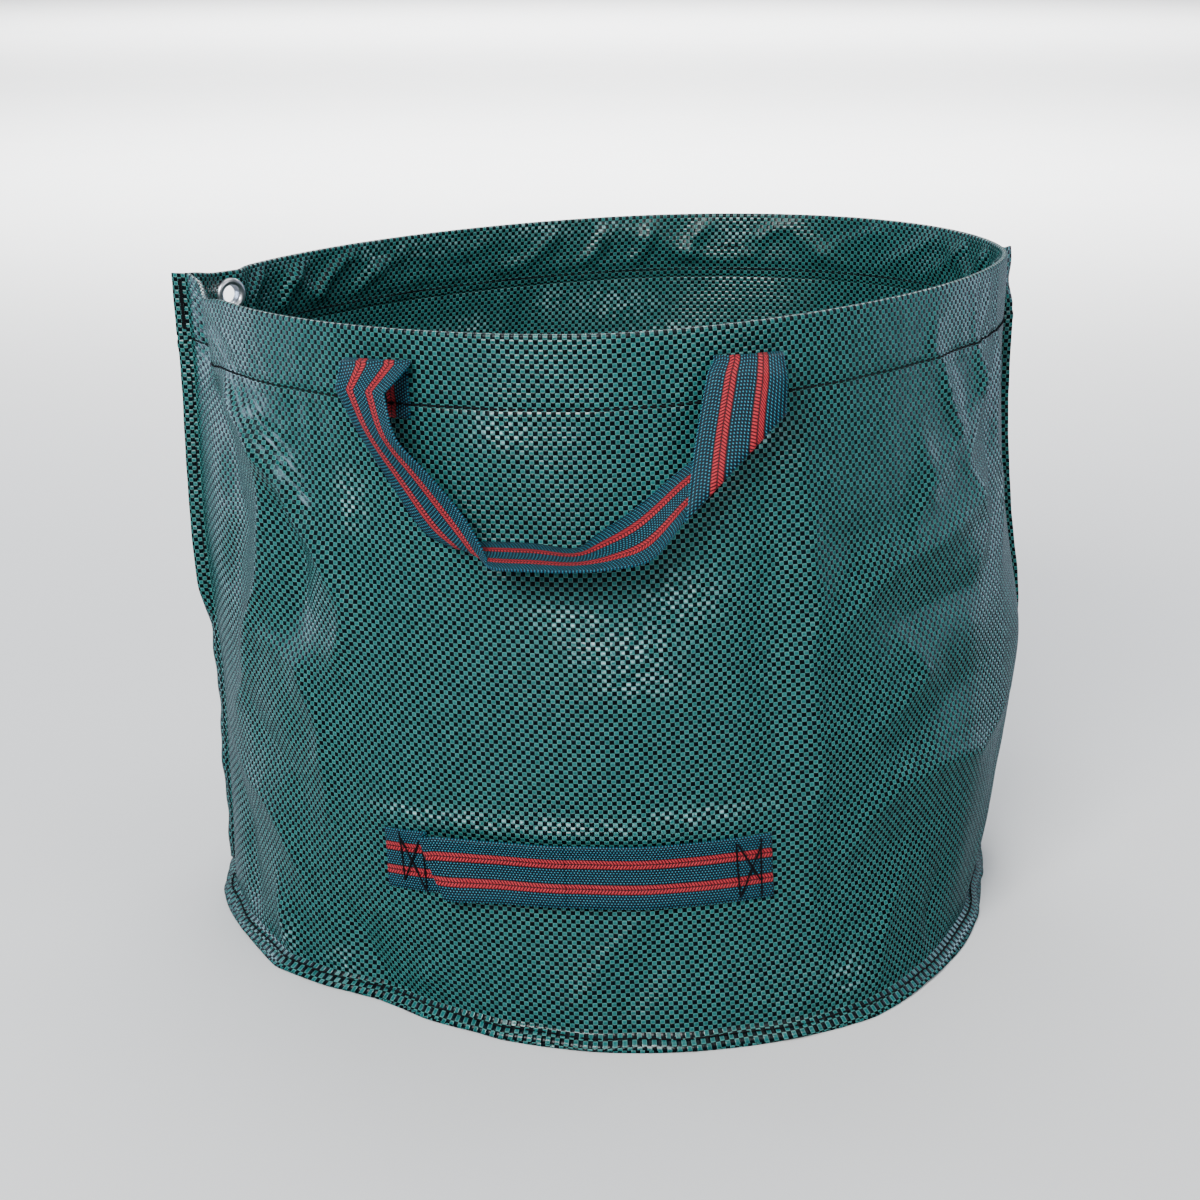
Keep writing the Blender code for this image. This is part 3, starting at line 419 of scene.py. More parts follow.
def smooth_plan(u, z):
    """The wall's outer face, without its creases."""
    mouth_x, mouth_y = mouth(u)
    angle = foot_angle(u)
    out_x, out_y = np.cos(angle), np.sin(angle)
    rise = np.clip((z - FOOT_HEIGHT) / (rim_height(u) - FOOT_HEIGHT), 0.0, 1.05)
    spread = FOOT_REACH * np.clip((FOOT_HEIGHT - z) / (FOOT_HEIGHT - FOOT_EDGE), 0.0, 1.2)
    top = 1.0 - STRAIGHT_TOP / (BAG_HEIGHT - FOOT_HEIGHT)
    away = (u / ROUND - BULGE_PLACE) / BULGE_SPREAD
    swell = BULGE * np.exp(-away * away) * np.sin(np.pi * np.minimum(rise / top, 1.0)) ** 2
    reach = BASE_RADIUS * (1.0 - rise) + spread + swell + slump(u, z)
    x = out_x * reach + mouth_x * rise
    y = out_y * reach + mouth_y * rise
    return x, y


def outward(u, z):
    """Level direction out of the wall. It doesn't look round the corner of a seam."""
    start = np.where(u > HALF, HALF + NUDGE, 0.0)
    end = np.where(u > HALF, ROUND - NUDGE, HALF)
    ahead = smooth_plan(np.minimum(u + LOOK_ALONG / 2, end), z)
    behind = smooth_plan(np.maximum(u - LOOK_ALONG / 2, start), z)
    dx, dy = ahead[0] - behind[0], ahead[1] - behind[1]
    length = np.hypot(dx, dy)
    return dy / length, -dx / length


def outward_way(u, z):
    """The same as (x, y, 0)."""
    out_x, out_y = outward(u, z)
    return np.stack([out_x, out_y, np.zeros(u.shape)], axis=-1)


# Creases: (places as (u, height) in mm, how far they stand out in mm, half width in mm, sharpness)
CREASES = (
    # Left: the pinched corner, the long ridge from it and the facets below
    (((14, 380), (17, 358), (24, 335)), -4.0, 8.0, 1.6),
    (((22, 362), (36, 335), (54, 300), (62, 255), (58, 215), (48, 175)), -8.0, 23.0, 1.9),
    (((41, 373), (60, 350), (84, 331), (110, 311), (134, 287), (156, 261), (177, 234)), 12.0, 13.0, 1.2),
    (((177, 236), (168, 210), (157, 190)), 5.0, 11.0, 1.2),
    (((113, 306), (107, 265), (93, 226), (80, 192), (60, 160), (44, 138)), 6.5, 11.0, 1.2),
    (((122, 296), (136, 258), (130, 222), (116, 194)), -6.5, 13.0, 1.8),
    (((86, 196), (112, 190), (131, 186), (149, 151), (144, 109)), 4.0, 9.0, 1.2),
    (((30, 112), (60, 98), (82, 93), (109, 75), (130, 48)), 3.2, 8.0, 1.2),
    (((150, 383), (148, 348), (153, 309), (162, 278)), 1.2, 4.0, 1.2),
    (((62, 150), (80, 130), (112, 120), (126, 100)), -3.5, 12.0, 1.6),
    (((66, 3), (50, 50), (40, 85)), -5.0, 13.0, 1.7),
    (((112, 2), (106, 22), (92, 48)), 4.0, 8.0, 1.2),
    (((184, 2), (176, 20), (160, 46)), -4.5, 9.0, 1.4),
    (((200, 2), (214, 24), (236, 44)), 2.6, 7.0, 1.2),
    # Front
    (((437, 330), (437, 234), (436, 197), (432, 137), (431, 99), (428, 53), (430, 10)), 3.8, 10.0, 1.2),
    (((411, 330), (412, 259), (410, 190), (406, 120)), -2.4, 13.0, 2.0),
    (((174, 112), (223, 117), (282, 118), (314, 118), (361, 121), (401, 123), (430, 124)), 2.4, 8.0, 1.2),
    (((200, 96), (300, 98), (400, 100)), -1.8, 15.0, 2.0),
    (((338, 73), (321, 53), (303, 30), (282, 11)), 2.6, 5.0, 1.2),
    (((350, 60), (335, 35), (318, 12)), -1.8, 8.0, 2.0),
    (((250, 262), (290, 256), (330, 262)), 2.2, 10.0, 1.5),
    (((300, 222), (340, 214), (380, 222)), 1.8, 9.0, 1.4),
    (((315, 250), (318, 190), (322, 130)), 1.4, 16.0, 1.8),
    (((242, 330), (250, 290), (262, 250), (268, 200)), 1.8, 10.0, 1.4),
    # Right: zigzag wrinkles above, slanted folds below
    (((548, 363), (570, 304), (542, 286), (537, 271)), 3.4, 8.0, 1.2),
    (((592, 359), (605, 317), (576, 287), (603, 247), (585, 222)), 3.4, 8.5, 1.2),
    (((623, 372), (596, 353), (605, 329), (580, 310)), 2.4, 6.5, 1.2),
    (((524, 321), (535, 286), (521, 254)), 2.4, 7.0, 1.2),
    (((640, 345), (632, 300), (645, 262), (630, 215)), 2.8, 9.0, 1.3),
    (((612, 300), (618, 255), (608, 225)), -2.5, 8.0, 1.5),
    (((612, 272), (552, 251), (510, 245), (483, 237), (458, 220), (447, 206)), 5.0, 11.0, 1.2),
    (((500, 270), (470, 262), (452, 250)), -2.2, 12.0, 1.6),
    (((600, 214), (540, 213), (524, 212), (498, 208)), -3.5, 10.0, 1.5),
    (((498, 207), (521, 178), (500, 165), (477, 156)), 3.4, 9.0, 1.2),
    (((600, 165), (550, 160), (500, 140), (466, 125)), -4.0, 15.0, 1.7),
    (((640, 130), (582, 116), (529, 123), (495, 121), (470, 109), (454, 90)), 4.8, 12.0, 1.2),
    (((455, 80), (490, 85), (540, 88)), -2.6, 14.0, 1.6),
    (((690, 150), (660, 95), (610, 45), (575, 10)), 3.6, 12.0, 1.3),
    (((500, 66), (470, 34), (458, 6)), 3.0, 7.0, 1.2),
    (((540, 60), (524, 30), (520, 4)), -2.6, 9.0, 1.4),
    # Round the back
    (((760, 330), (770, 250), (790, 160), (780, 80), (785, 10)), 3.5, 15.0, 1.5),
    (((850, 310), (835, 240), (850, 170)), -3.0, 20.0, 2.0),
    (((900, 340), (890, 270), (910, 190), (900, 90)), 2.5, 12.0, 1.3),
    (((960, 150), (1020, 120), (1090, 130), (1150, 110)), 2.5, 12.0, 1.5),
    (((1000, 300), (1010, 220), (1000, 150)), -2.0, 20.0, 2.0),
    (((1110, 330), (1100, 250), (1120, 170), (1115, 60)), 3.0, 14.0, 1.4),
    (((1200, 340), (1215, 260), (1195, 180), (1210, 90), (1205, 10)), 2.5, 12.0, 1.3),
    (((1290, 320), (1275, 240), (1300, 150), (1290, 60)), 3.5, 15.0, 1.4),
    (((1350, 340), (1355, 250), (1340, 160)), -3.0, 16.0, 2.0),
    (((1380, 200), (1350, 120), (1320, 60)), 2.5, 10.0, 1.4),
    (((1349, 430), (1347, 360), (1342, 310)), -16.0, 15.0, 2.0),
)
# The eyelet: how far it sits from the left corner and below the rim, its hole, and its flange's radius
EYELET_U = 0.040
EYELET_DROP = 0.014
EYELET_HOLE = 0.0053
EYELET_FLANGE = 0.0100
# It is stiff and turns the limp cloth round it to face the mouth: how far round it in mm, and the slope
EYELET_TURN = (14.0, 0.42)
# Wrinkles of the film, which run on over the hem
WRINKLES = (
    (((36, 384), (62, 366), (92, 350), (116, 339), (134, 318)), 1.5, 4.0, 1.4),
    (((88, 368), (104, 352), (128, 336)), 1.1, 3.6, 1.4),
    (((112, 360), (134, 336), (146, 315)), 1.1, 3.6, 1.4),
    (((148, 372), (152, 345), (156, 322)), 0.9, 3.4, 1.4),
    (((548, 382), (546, 362), (558, 335), (570, 304)), 1.5, 4.4, 1.4),
    (((594, 386), (590, 362), (606, 330), (600, 308)), 1.7, 4.8, 1.4),
    (((560, 380), (541, 351), (534, 328)), 1.1, 4.0, 1.4),
    (((624, 386), (598, 355), (607, 329), (582, 310)), 1.4, 4.4, 1.4),
    (((640, 386), (632, 356), (642, 320), (630, 290)), 1.4, 4.8, 1.4),
    (((612, 384), (616, 356), (604, 340)), 0.9, 3.6, 1.4),
)
# What holds the creases flat, and between which distances it lets go: the hem down from the rim, the foot
# up from the ground, a side seam along u, and the rim where a wrinkle of the film comes up to it
HEM_LETS_GO = (0.032, 0.060)
FOOT_LETS_GO = (0.004, 0.022)
SEAM_LETS_GO = (0.0, 0.016)
RIM_LETS_GO = (0.0, 0.006)
LIMP_CORNER = 0.046
# The hem's face stands out down to the folded edge behind it, and dips and waves along its stitches
HEM_STANDS_OUT = 0.0004
HEM_EDGE = (0.042, 0.046)
STITCH_DIP = 0.0006
STITCH_DIP_REACH = 0.0018
HEM_WAVE = 0.00035
HEM_WAVE_DEPTH = 0.040
HEM_WAVE_REACH = 0.010
FOOT_WAVE = 0.0012
FOOT_WAVE_REACH = 0.014


def along_line(u, h, points):
    """Distance to a broken line, and how far along it, 0 to 1."""
    best = np.full(u.shape, 1e9)
    place = np.zeros(u.shape)
    total = sum(math.dist(a, b) for a, b in zip(points, points[1:]))
    walked = 0.0
    for (au, ah), (bu, bh) in zip(points, points[1:]):
        length = math.dist((au, ah), (bu, bh))
        t = np.clip(((u - au) * (bu - au) + (h - ah) * (bh - ah)) / length ** 2, 0.0, 1.0)
        away = np.hypot(u - au - t * (bu - au), h - ah - t * (bh - ah))
        nearer = away < best
        best = np.where(nearer, away, best)
        place = np.where(nearer, (walked + t * length) / total, place)
        walked += length
    return best, place


def pushed_by(lines, u_mm, h_mm):
    """How far creases stand out in mm. Each wanders a little on its way and fades towards its ends."""
    total = np.zeros(np.broadcast(u_mm, h_mm).shape)
    wander = 2.6 * np.sin(h_mm / 17.0 + u_mm / 29.0) + 1.4 * np.sin(h_mm / 7.3 - u_mm / 13.0)
    for points, stand, width, sharp in lines:
        away, place = along_line(u_mm + wander, h_mm, points)
        ends = np.sin(np.pi * np.clip(place * 0.86 + 0.07, 0.0, 1.0)) ** 0.7
        total += stand * np.exp(-(away / width) ** sharp) * ends
    return total


def relief(u, z):
    """How far the creases push the wall outwards."""
    u_mm, h_mm = u * TO_MM, z * TO_MM
    depth = rim_height(u) - z
    total = pushed_by(CREASES, u_mm, h_mm)
    ripple = (0.7 * np.sin(u_mm / 23.0 + 1.7 * np.sin(h_mm / 61.0)) * np.sin(h_mm / 47.0 + u_mm / 90.0)
              + 0.35 * np.sin(u_mm / 9.0 + h_mm / 26.0) * np.sin(h_mm / 19.0 - u_mm / 41.0))
    # The strip holds the hem smooth, except at the limp corner
    corner = np.exp(-(np.minimum(u, ROUND - u) / LIMP_CORNER) ** 5)
    hold = np.maximum(smoothstep(*HEM_LETS_GO, depth), corner)
    body = (total + ripple) * MM * hold * smoothstep(*FOOT_LETS_GO, z)
    film = pushed_by(WRINKLES, u_mm, h_mm) * MM * smoothstep(*RIM_LETS_GO, depth)
    near_seam = np.minimum(np.mod(u, HALF), HALF - np.mod(u, HALF))
    body = (body + film) * smoothstep(*SEAM_LETS_GO, near_seam)
    beside = np.mod(u, ROUND) * TO_MM - (ROUND - EYELET_U) * TO_MM
    below = (depth - EYELET_DROP) * TO_MM
    reach, slope = EYELET_TURN
    body += slope * MM * beside * np.exp(-(beside * beside + below * below) / reach ** 2)
    hem = HEM_STANDS_OUT * (1.0 - smoothstep(*HEM_EDGE, depth))
    hem -= STITCH_DIP * np.exp(-((depth - HEM_STITCH_DEPTH) / STITCH_DIP_REACH) ** 2)
    waves = np.sin(u_mm / 6.1 + np.sin(u_mm / 31.0))
    hem += HEM_WAVE * waves * np.exp(-((depth - HEM_WAVE_DEPTH) / HEM_WAVE_REACH) ** 2)
    foot = FOOT_WAVE * np.sin(u_mm / 11.0 + 2.0 * np.sin(u_mm / 53.0)) * np.exp(-(z / FOOT_WAVE_REACH) ** 2)
    return body + hem + foot


# The folded-in layer of the hem: how far its slanted and its crossing folds puff, between which depths
# they begin and end, and from where along u the corner lets them be
SLANTED_PUFF = 0.0045
CROSSING_PUFF = 0.0024
FOLDS_BEGIN = (0.003, 0.010)
FOLDS_END = (0.027, 0.034)
CORNER_LETS_GO = (0.048, 0.062)
TAB_ROW_REACH = (0.005, 0.004)


def hem_folds(u, depth):
    """How far the folded-in layer of the hem puffs into the bag between its rows of stitches."""
    u_mm, d_mm = u * TO_MM, depth * TO_MM
    slanted = np.sin(u_mm / 7.5 - d_mm / 6.5 + 1.6 * np.sin(u_mm / 41.0) + np.sin(d_mm / 9.0 + u_mm / 60.0))
    crossing = np.sin(u_mm / 15.0 + d_mm / 9.0 + 2.0 * np.sin(u_mm / 67.0))
    puff = SLANTED_PUFF * np.maximum(slanted, 0.0) ** 2 + CROSSING_PUFF * np.maximum(crossing, 0.0) ** 2
    amount = 0.35 + 0.65 * np.sin(u_mm / 97.0 + 0.6) ** 2
    held = smoothstep(*FOLDS_BEGIN, depth) * (1.0 - smoothstep(*FOLDS_END, depth))
    reach_down, reach_along = TAB_ROW_REACH
    for handle in (FRONT_HANDLE, BACK_HANDLE):
        for low, high in handle.u_tabs:
            beside = np.maximum(np.maximum(low - u, u - high), 0.0)
            below = depth - TAB_ROW_DEPTH
            held = held * (1.0 - np.exp(-(below / reach_down) ** 2 - (beside / reach_along) ** 2))
    held = held * smoothstep(*CORNER_LETS_GO, np.minimum(u, ROUND - u))
    return puff * amount * held


def wall_point(u, z, inward):
    """Points at a distance inside the wall's outer face, creases included."""
    u, z, inward = np.broadcast_arrays(np.asarray(u, float), np.asarray(z, float), np.asarray(inward, float))
    x, y = smooth_plan(u, z)
    out_x, out_y = outward(u, z)
    push = relief(u, z) - inward
    return np.stack([x + out_x * push, y + out_y * push, z], axis=-1)


# Where the film has come loose, wrinkles more and carries painted glints: (place along u, height, reach along
# u, reach up), in mm
LOOSE_FILM_GLINTS = (
    (272, 338, 15, 9), (181, 290, 9, 13), (303, 238, 20, 8), (330, 222, 26, 13), (361, 249, 18, 12),
    (338, 205, 22, 7), (411, 332, 12, 8), (249, 123, 30, 4), (293, 124, 40, 4), (366, 129, 30, 4),
    (212, 121, 22, 4), (108, 15, 8, 8), (150, 13, 8, 8), (604, 12, 8, 8), (446, 23, 10, 8),
    (1045, 322, 30, 12), (1088, 326, 12, 8), (1190, 372, 25, 6), (1100, 376, 30, 6), (1052, 374, 20, 6),
    (960, 372, 15, 8), (1232, 370, 12, 8), (1000, 300, 30, 9), (1150, 310, 20, 9), (800, 250, 20, 30),
    (900, 200, 30, 14), (1250, 180, 20, 24), (640, 260, 9, 30),
)
# Where sheen is painted in streaks along the film's creases: the same
CREASED_FILM_SHEEN = (
    (38, 372, 10, 9), (51, 362, 10, 8), (66, 353, 11, 8), (81, 345, 11, 8), (96, 337, 11, 8),
    (111, 327, 10, 8), (125, 315, 8, 8), (137, 302, 6, 9), (148, 288, 5, 9),
    (9, 372, 4, 16), (12, 345, 4, 16),
)
FILM_MARKS = {"loose_film": LOOSE_FILM_GLINTS, "creased_film": CREASED_FILM_SHEEN}


def film_patches(u, z, patches):
    """How fully each place lies in one of the patches."""
    total = np.zeros(np.broadcast(u, z).shape)
    for place, height, reach, reach_up in patches:
        away = (u * TO_MM - place) / reach
        up = (z * TO_MM - height) / reach_up
        total = np.maximum(total, np.exp(-away * away - up * up))
    return total


# Meshes

def make_piece(name, points, faces, places, material, smooth=True):
    """A mesh with its own cloth map, whose places are in metres on the flat material."""
    mesh = bpy.data.meshes.new(name)
    mesh.from_pydata(np.asarray(points).reshape(-1, 3).tolist(), [], [list(face) for face in faces])
    cloth = mesh.uv_layers.new(name="cloth")
    corner_verts = np.empty(len(mesh.loops), np.int32)
    mesh.loops.foreach_get("vertex_index", corner_verts)
    flat = np.asarray(places, np.float32).reshape(-1, 2)[corner_verts]
    cloth.data.foreach_set("uv", flat.ravel())
    mesh.materials.append(material)
    if smooth:
        mesh.shade_smooth()
    mesh.update()
    piece = bpy.data.objects.new(name, mesh)
    bpy.context.scene.collection.objects.link(piece)
    return piece


def grid_faces(rows, columns, skip=None):
    """Faces of a grid of points, row by row, without those to skip."""
    faces = []
    for r in range(rows - 1):
        for c in range(columns - 1):
            if skip is not None and skip[r, c]:
                continue
            first = r * columns + c
            faces.append((first, first + 1, first + columns + 1, first + columns))
    return faces


def thicken(piece, thickness):
    """Give a sheet its thickness, half to each side."""
    solid = piece.modifiers.new("thickness", "SOLIDIFY")
    solid.thickness = thickness
    solid.offset = 0.0
    solid.use_even_offset = False
    bpy.context.view_layer.update()
    evaluated = piece.evaluated_get(bpy.context.evaluated_depsgraph_get())
    mesh = bpy.data.meshes.new_from_object(evaluated)
    piece.modifiers.clear()
    piece.data = mesh


def remove_loose(piece):
    """Drop the points that no face uses, and turn the faces the same way."""
    mesh_data = bmesh.new()
    mesh_data.from_mesh(piece.data)
    loose = [v for v in mesh_data.verts if not v.link_faces]
    bmesh.ops.delete(mesh_data, geom=loose, context="VERTS")
    bmesh.ops.recalc_face_normals(mesh_data, faces=mesh_data.faces)
    mesh_data.to_mesh(piece.data)
    mesh_data.free()


def closed_faces(rows, columns, first=0, ends_meet=False):
    """Faces between rows of points that each run round and close. The last row can meet the first."""
    faces = []
    for r in range(rows if ends_meet else rows - 1):
        here = first + r * columns
        beyond = first + (r + 1) % rows * columns
        for c in range(columns):
            d = (c + 1) % columns
            faces.append((here + c, here + d, beyond + d, beyond + c))
    return faces


# The side panels

# Rows of a panel's mesh: heights at the foot, depths on the hem's face, closer together beside its edge
# and its stitches, and depths on the layer that is folded in
ROW_STEP = 0.003
FOOT_ROWS = (FOOT_EDGE, 0.0035, 0.0055, FOOT_HEIGHT, 0.009, 0.0115)
HEM_ROWS = (
    *np.arange(STRAIGHT_TOP - ROW_STEP, 0.0455, -ROW_STEP),
    0.045, 0.044, 0.043, 0.042, 0.040, 0.039, 0.038, 0.037, 0.036, 0.034,
    *np.arange(0.031, ROW_STEP, -ROW_STEP),
)
FOLDED_ROWS = (0.004, 0.008, 0.012, 0.016, 0.020, 0.024, 0.028, 0.031, 0.034, 0.037, 0.038, 0.039, 0.041,
               HEM_DEPTH)
RIM_STEPS = 6
RIM_FLATNESS = 0.9
# Columns beside a seam, and across its flange from the free edge inwards
SEAM_COLUMNS = (0.0008, 0.0018)
FLANGE_COLUMNS = (SIDE_FLANGE, 0.0064, 0.0043, 0.0022, 0.0008)
FLANGE_LIFT = GAP / 2 + CLOTH / 2
# Between which depths the strip ends and the folded layer comes up to the outer one, and between which
# distances from the left corner the strip begins
STRIP_ENDS = (0.0335, 0.0372)
STRIP_BEGINS = (0.044, 0.060)
# The right flange is folded over near the rim and the left one near the foot: how far, between which heights
RIGHT_FLANGE_LEANS = (math.radians(55.0), (0.340, 0.372))
LEFT_FLANGE_LEANS = (math.radians(62.0), (0.165, 0.200))
SEAM_SIDE = 0.004
# A flange waves: how far, and how fast up the seam
FLANGE_WAVES = ((0.0006, 95.0), (0.0004, 260.0))
HOLE_EASE = 0.0004
HOLE_REACH = 0.006


def wall_rows(u):
    """Rows of a panel from its foot up, over the rim and down the hem: height, inset, place. The second
    result is how many of them lie on the outer face."""
    rim = rim_height(u)
    middle = CLOTH / 2
    body_top = rim - STRAIGHT_TOP
    rows = []
    for z in FOOT_ROWS:
        rows.append((np.full(u.shape, z), middle, rim - z))
    steps = int((BAG_HEIGHT - STRAIGHT_TOP - SIDE_FLANGE_START) / MESH_STEP)
    for i in range(steps + 1):
        z = SIDE_FLANGE_START + (body_top - SIDE_FLANGE_START) * i / steps
        rows.append((z, middle, rim - z))
    for depth in HEM_ROWS:
        rows.append((rim - depth, middle, depth + 0.0 * u))
    outer_count = len(rows)
    radius = (WALL_OF_HEM - CLOTH) / 2
    for i in range(RIM_STEPS + 1):
        angle = math.pi * i / RIM_STEPS
        z = rim - radius + radius * math.sin(angle) * RIM_FLATNESS
        inset = middle + radius * (1.0 - math.cos(angle))
        rows.append((z, inset, radius * (1.0 - 2.0 * i / RIM_STEPS)))
    for depth in FOLDED_ROWS:
        pocket = 1.0 - float(smoothstep(*STRIP_ENDS, np.asarray(depth)))
        inset = CLOTH + GAP + middle + (WALL_OF_HEM - 2 * CLOTH - GAP) * pocket
        rows.append((rim - depth, inset, -depth))
    return rows, outer_count


def seam_frame(seam, side, z):
    """A seam's place at a height, the way its flange stands, and the way from the flange's middle to
    the layer of the panel on one side (+1 or -1 in u). The flange leans back where it is folded over."""
    first = outward(np.asarray(seam + NUDGE) % ROUND, z)
    second = outward(np.asarray(seam - NUDGE) % ROUND, z)
    out = np.array([float(first[0] + second[0]), float(first[1] + second[1])])
    out /= np.linalg.norm(out)
    seat = wall_point(seam + side * NUDGE * 2, z, 0.0)
    inside = wall_point(seam + side * SEAM_SIDE, z, 0.0) - seat
    across = np.array([-out[1], out[0]])
    if np.dot(across, inside[:2]) < 0:
        across = -across
    if seam == HALF:
        most, heights = RIGHT_FLANGE_LEANS
        lean = most * float(smoothstep(*heights, np.asarray(z)))
    else:
        most, heights = LEFT_FLANGE_LEANS
        lean = -most * float(1.0 - smoothstep(*heights, np.asarray(z)))
    turn = np.array([[math.cos(lean), -math.sin(lean)], [math.sin(lean), math.cos(lean)]])
    return seat, turn @ out, turn @ across


def flange_sway(z, reach):
    """How far a flange waves sideways at a height, most at its free edge."""
    waves = sum(stand * math.sin(z * fast) for stand, fast in FLANGE_WAVES)
    return waves * (reach / SIDE_FLANGE) ** 2


def without_cloth(points, rows, outer_count):
    """Which faces of a panel's grid are left out: its flanges at the foot and over the rim, and the hole."""
    flange = len(FLANGE_COLUMNS)
    last = points.shape[1] - 1
    skip = np.zeros((len(rows) - 1, last), bool)
    low = sum(1 for z, _, _ in rows if np.max(z) < SIDE_FLANGE_START - 1e-6)
    for edge_columns in (slice(0, flange), slice(last - flange, last)):
        skip[:low, edge_columns] = True
        skip[outer_count + 2:, edge_columns] = True
    centre, axis = eyelet_place()
    away = points - centre
    inwards = away @ axis
    away -= inwards[..., None] * axis
    hole = (np.linalg.norm(away, axis=2) < EYELET_HOLE + HOLE_EASE) & (np.abs(inwards) < HOLE_REACH)
    return skip | hole[:-1, :-1] | hole[1:, :-1] | hole[:-1, 1:] | hole[1:, 1:]


def side_panel(name, start, end, material):
    """Half of the wall in one cloth: flanges, wall, foot and folded hem."""
    u = np.linspace(start, end, int(round((end - start) / MESH_STEP)) + 1)
    u[0] += NUDGE
    u[-1] -= NUDGE
    near = np.array(SEAM_COLUMNS)
    u = np.sort(np.concatenate([u, start + near, end - near]))
    rows, outer_count = wall_rows(u)
    flange = len(FLANGE_COLUMNS)
    between = slice(flange, -flange)
    columns = len(u) + 2 * flange
    points = np.zeros((len(rows), columns, 3))
    places = np.zeros((len(rows), columns, 2))
    marks = {label: np.zeros((len(rows), columns)) for label in FILM_MARKS}
    for r, (z, inset, place) in enumerate(rows):
        z = np.broadcast_to(z, u.shape)
        place = np.broadcast_to(place, u.shape)
        if place[0] < 0.0:
            # The strip holds this layer back where the outer one stands out
            held_back = 1.0 - smoothstep(*STRIP_ENDS, -place)
            held_back = held_back * smoothstep(*STRIP_BEGINS, np.minimum(u, ROUND - u))
            inset = inset + hem_folds(u, -place) + np.maximum(relief(u, z), 0.0) * held_back
        points[r, between] = wall_point(u, z, inset)
        places[r, between] = np.stack([u, place], axis=-1)
        for label, patches in FILM_MARKS.items():
            marks[label][r, between] = film_patches(u, z, patches)
        for edge, seam, side in ((0, start, 1.0), (-1, end, -1.0)):
            seat, stands, across = seam_frame(seam, side, z[edge])
            for i, out in enumerate(FLANGE_COLUMNS):
                column = i if edge == 0 else columns - 1 - i
                lift = FLANGE_LIFT + side * flange_sway(z[edge], out)
                points[r, column] = (*(seat[:2] + stands * out + across * lift), z[edge])
                places[r, column] = (seam - side * out, place[edge])
            seam_column = flange if edge == 0 else columns - 1 - flange
            points[r, seam_column, :2] = seat[:2] + across * FLANGE_LIFT
    skip = without_cloth(points, rows, outer_count)
    piece = make_piece(name, points, grid_faces(len(rows), columns, skip), places, material)
    for label, amount in marks.items():
        mark = piece.data.attributes.new(label, "FLOAT", "POINT")
        mark.data.foreach_set("value", amount.astype(np.float32).ravel())
    remove_loose(piece)
    thicken(piece, CLOTH)
    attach(piece, "bag")
    return piece


# The base

# How many rings lie evenly on its flat and how far in from the foot's radius they end, and how far in the
# rings lie where it rises to its seam
BASE_COLUMNS = 360
BASE_EVEN_RINGS = 40
BASE_FIRST_RING = 0.004
BASE_FLAT_ENDS = 0.034
BASE_SEAM_RINGS = (0.030, 0.024, 0.018, 0.014, 0.009, 0.005, 0.003)
BASE_RISES = (0.030, 0.002)
BASE_RISE = 0.0060
BASE_LIES = 0.0003
BASE_WAVE = 0.0007
# Its edge, turned out and down over the foot: (out from the foot's radius, height)
BASE_EDGE = ((-0.0010, 0.0062), (0.0010, 0.0052), (0.0042, 0.0031), (FOOT_REACH, 0.0004))


def base_cloth(material):
    """Round base: flat, rising to its seam, with its edge turned out and down over the foot."""
    u = np.linspace(0.0, ROUND, BASE_COLUMNS, endpoint=False)
    angle = foot_angle(u)
    foot = slump(u, np.full(u.shape, FOOT_HEIGHT))
    radii = list(np.linspace(BASE_FIRST_RING, BASE_RADIUS - BASE_FLAT_ENDS, BASE_EVEN_RINGS))
    radii += [BASE_RADIUS - inwards for inwards in BASE_SEAM_RINGS]
    begins, ends = BASE_RISES
    points, places = [], []
    for radius in radii:
        rise = float(smoothstep(BASE_RADIUS - begins, BASE_RADIUS - ends, np.asarray(radius)))
        reach = radius + foot * (radius / BASE_RADIUS) ** 2
        x, y = reach * np.cos(angle), reach * np.sin(angle)
        wave = BASE_WAVE * (np.sin(x * 41.0 + 1.3 * np.sin(y * 33.0)) * np.sin(y * 37.0 + x * 9.0) + 1.0)
        z = BASE_LIES + wave * (1.0 - rise) * min(1.0, (BASE_RADIUS - radius) / begins) + rise * BASE_RISE
        points.append(np.stack([x, y, z], axis=-1))
        places.append(np.stack([x, y], axis=-1))
    for beyond, z in BASE_EDGE:
        reach = BASE_RADIUS + beyond + foot
        x, y = reach * np.cos(angle), reach * np.sin(angle)
        points.append(np.stack([x, y, np.full(u.shape, z)], axis=-1))
        places.append(np.stack([x, y], axis=-1))
    faces = closed_faces(len(points), BASE_COLUMNS) + [tuple(range(BASE_COLUMNS))]
    piece = make_piece("base_cloth", np.array(points), faces, np.array(places), material)
    remove_loose(piece)
    thicken(piece, CLOTH * 0.9)
    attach(piece, "bag")
    return piece


# Webbing

# Faces across a length of webbing, the shares of its width at their edges, and how far it lies off the wall
ACROSS = 14
SHARE = np.linspace(0.0, 1.0, ACROSS + 1)
WEBBING_LIES = GAP + WEBBING / 2
RULING_STEPS = 5


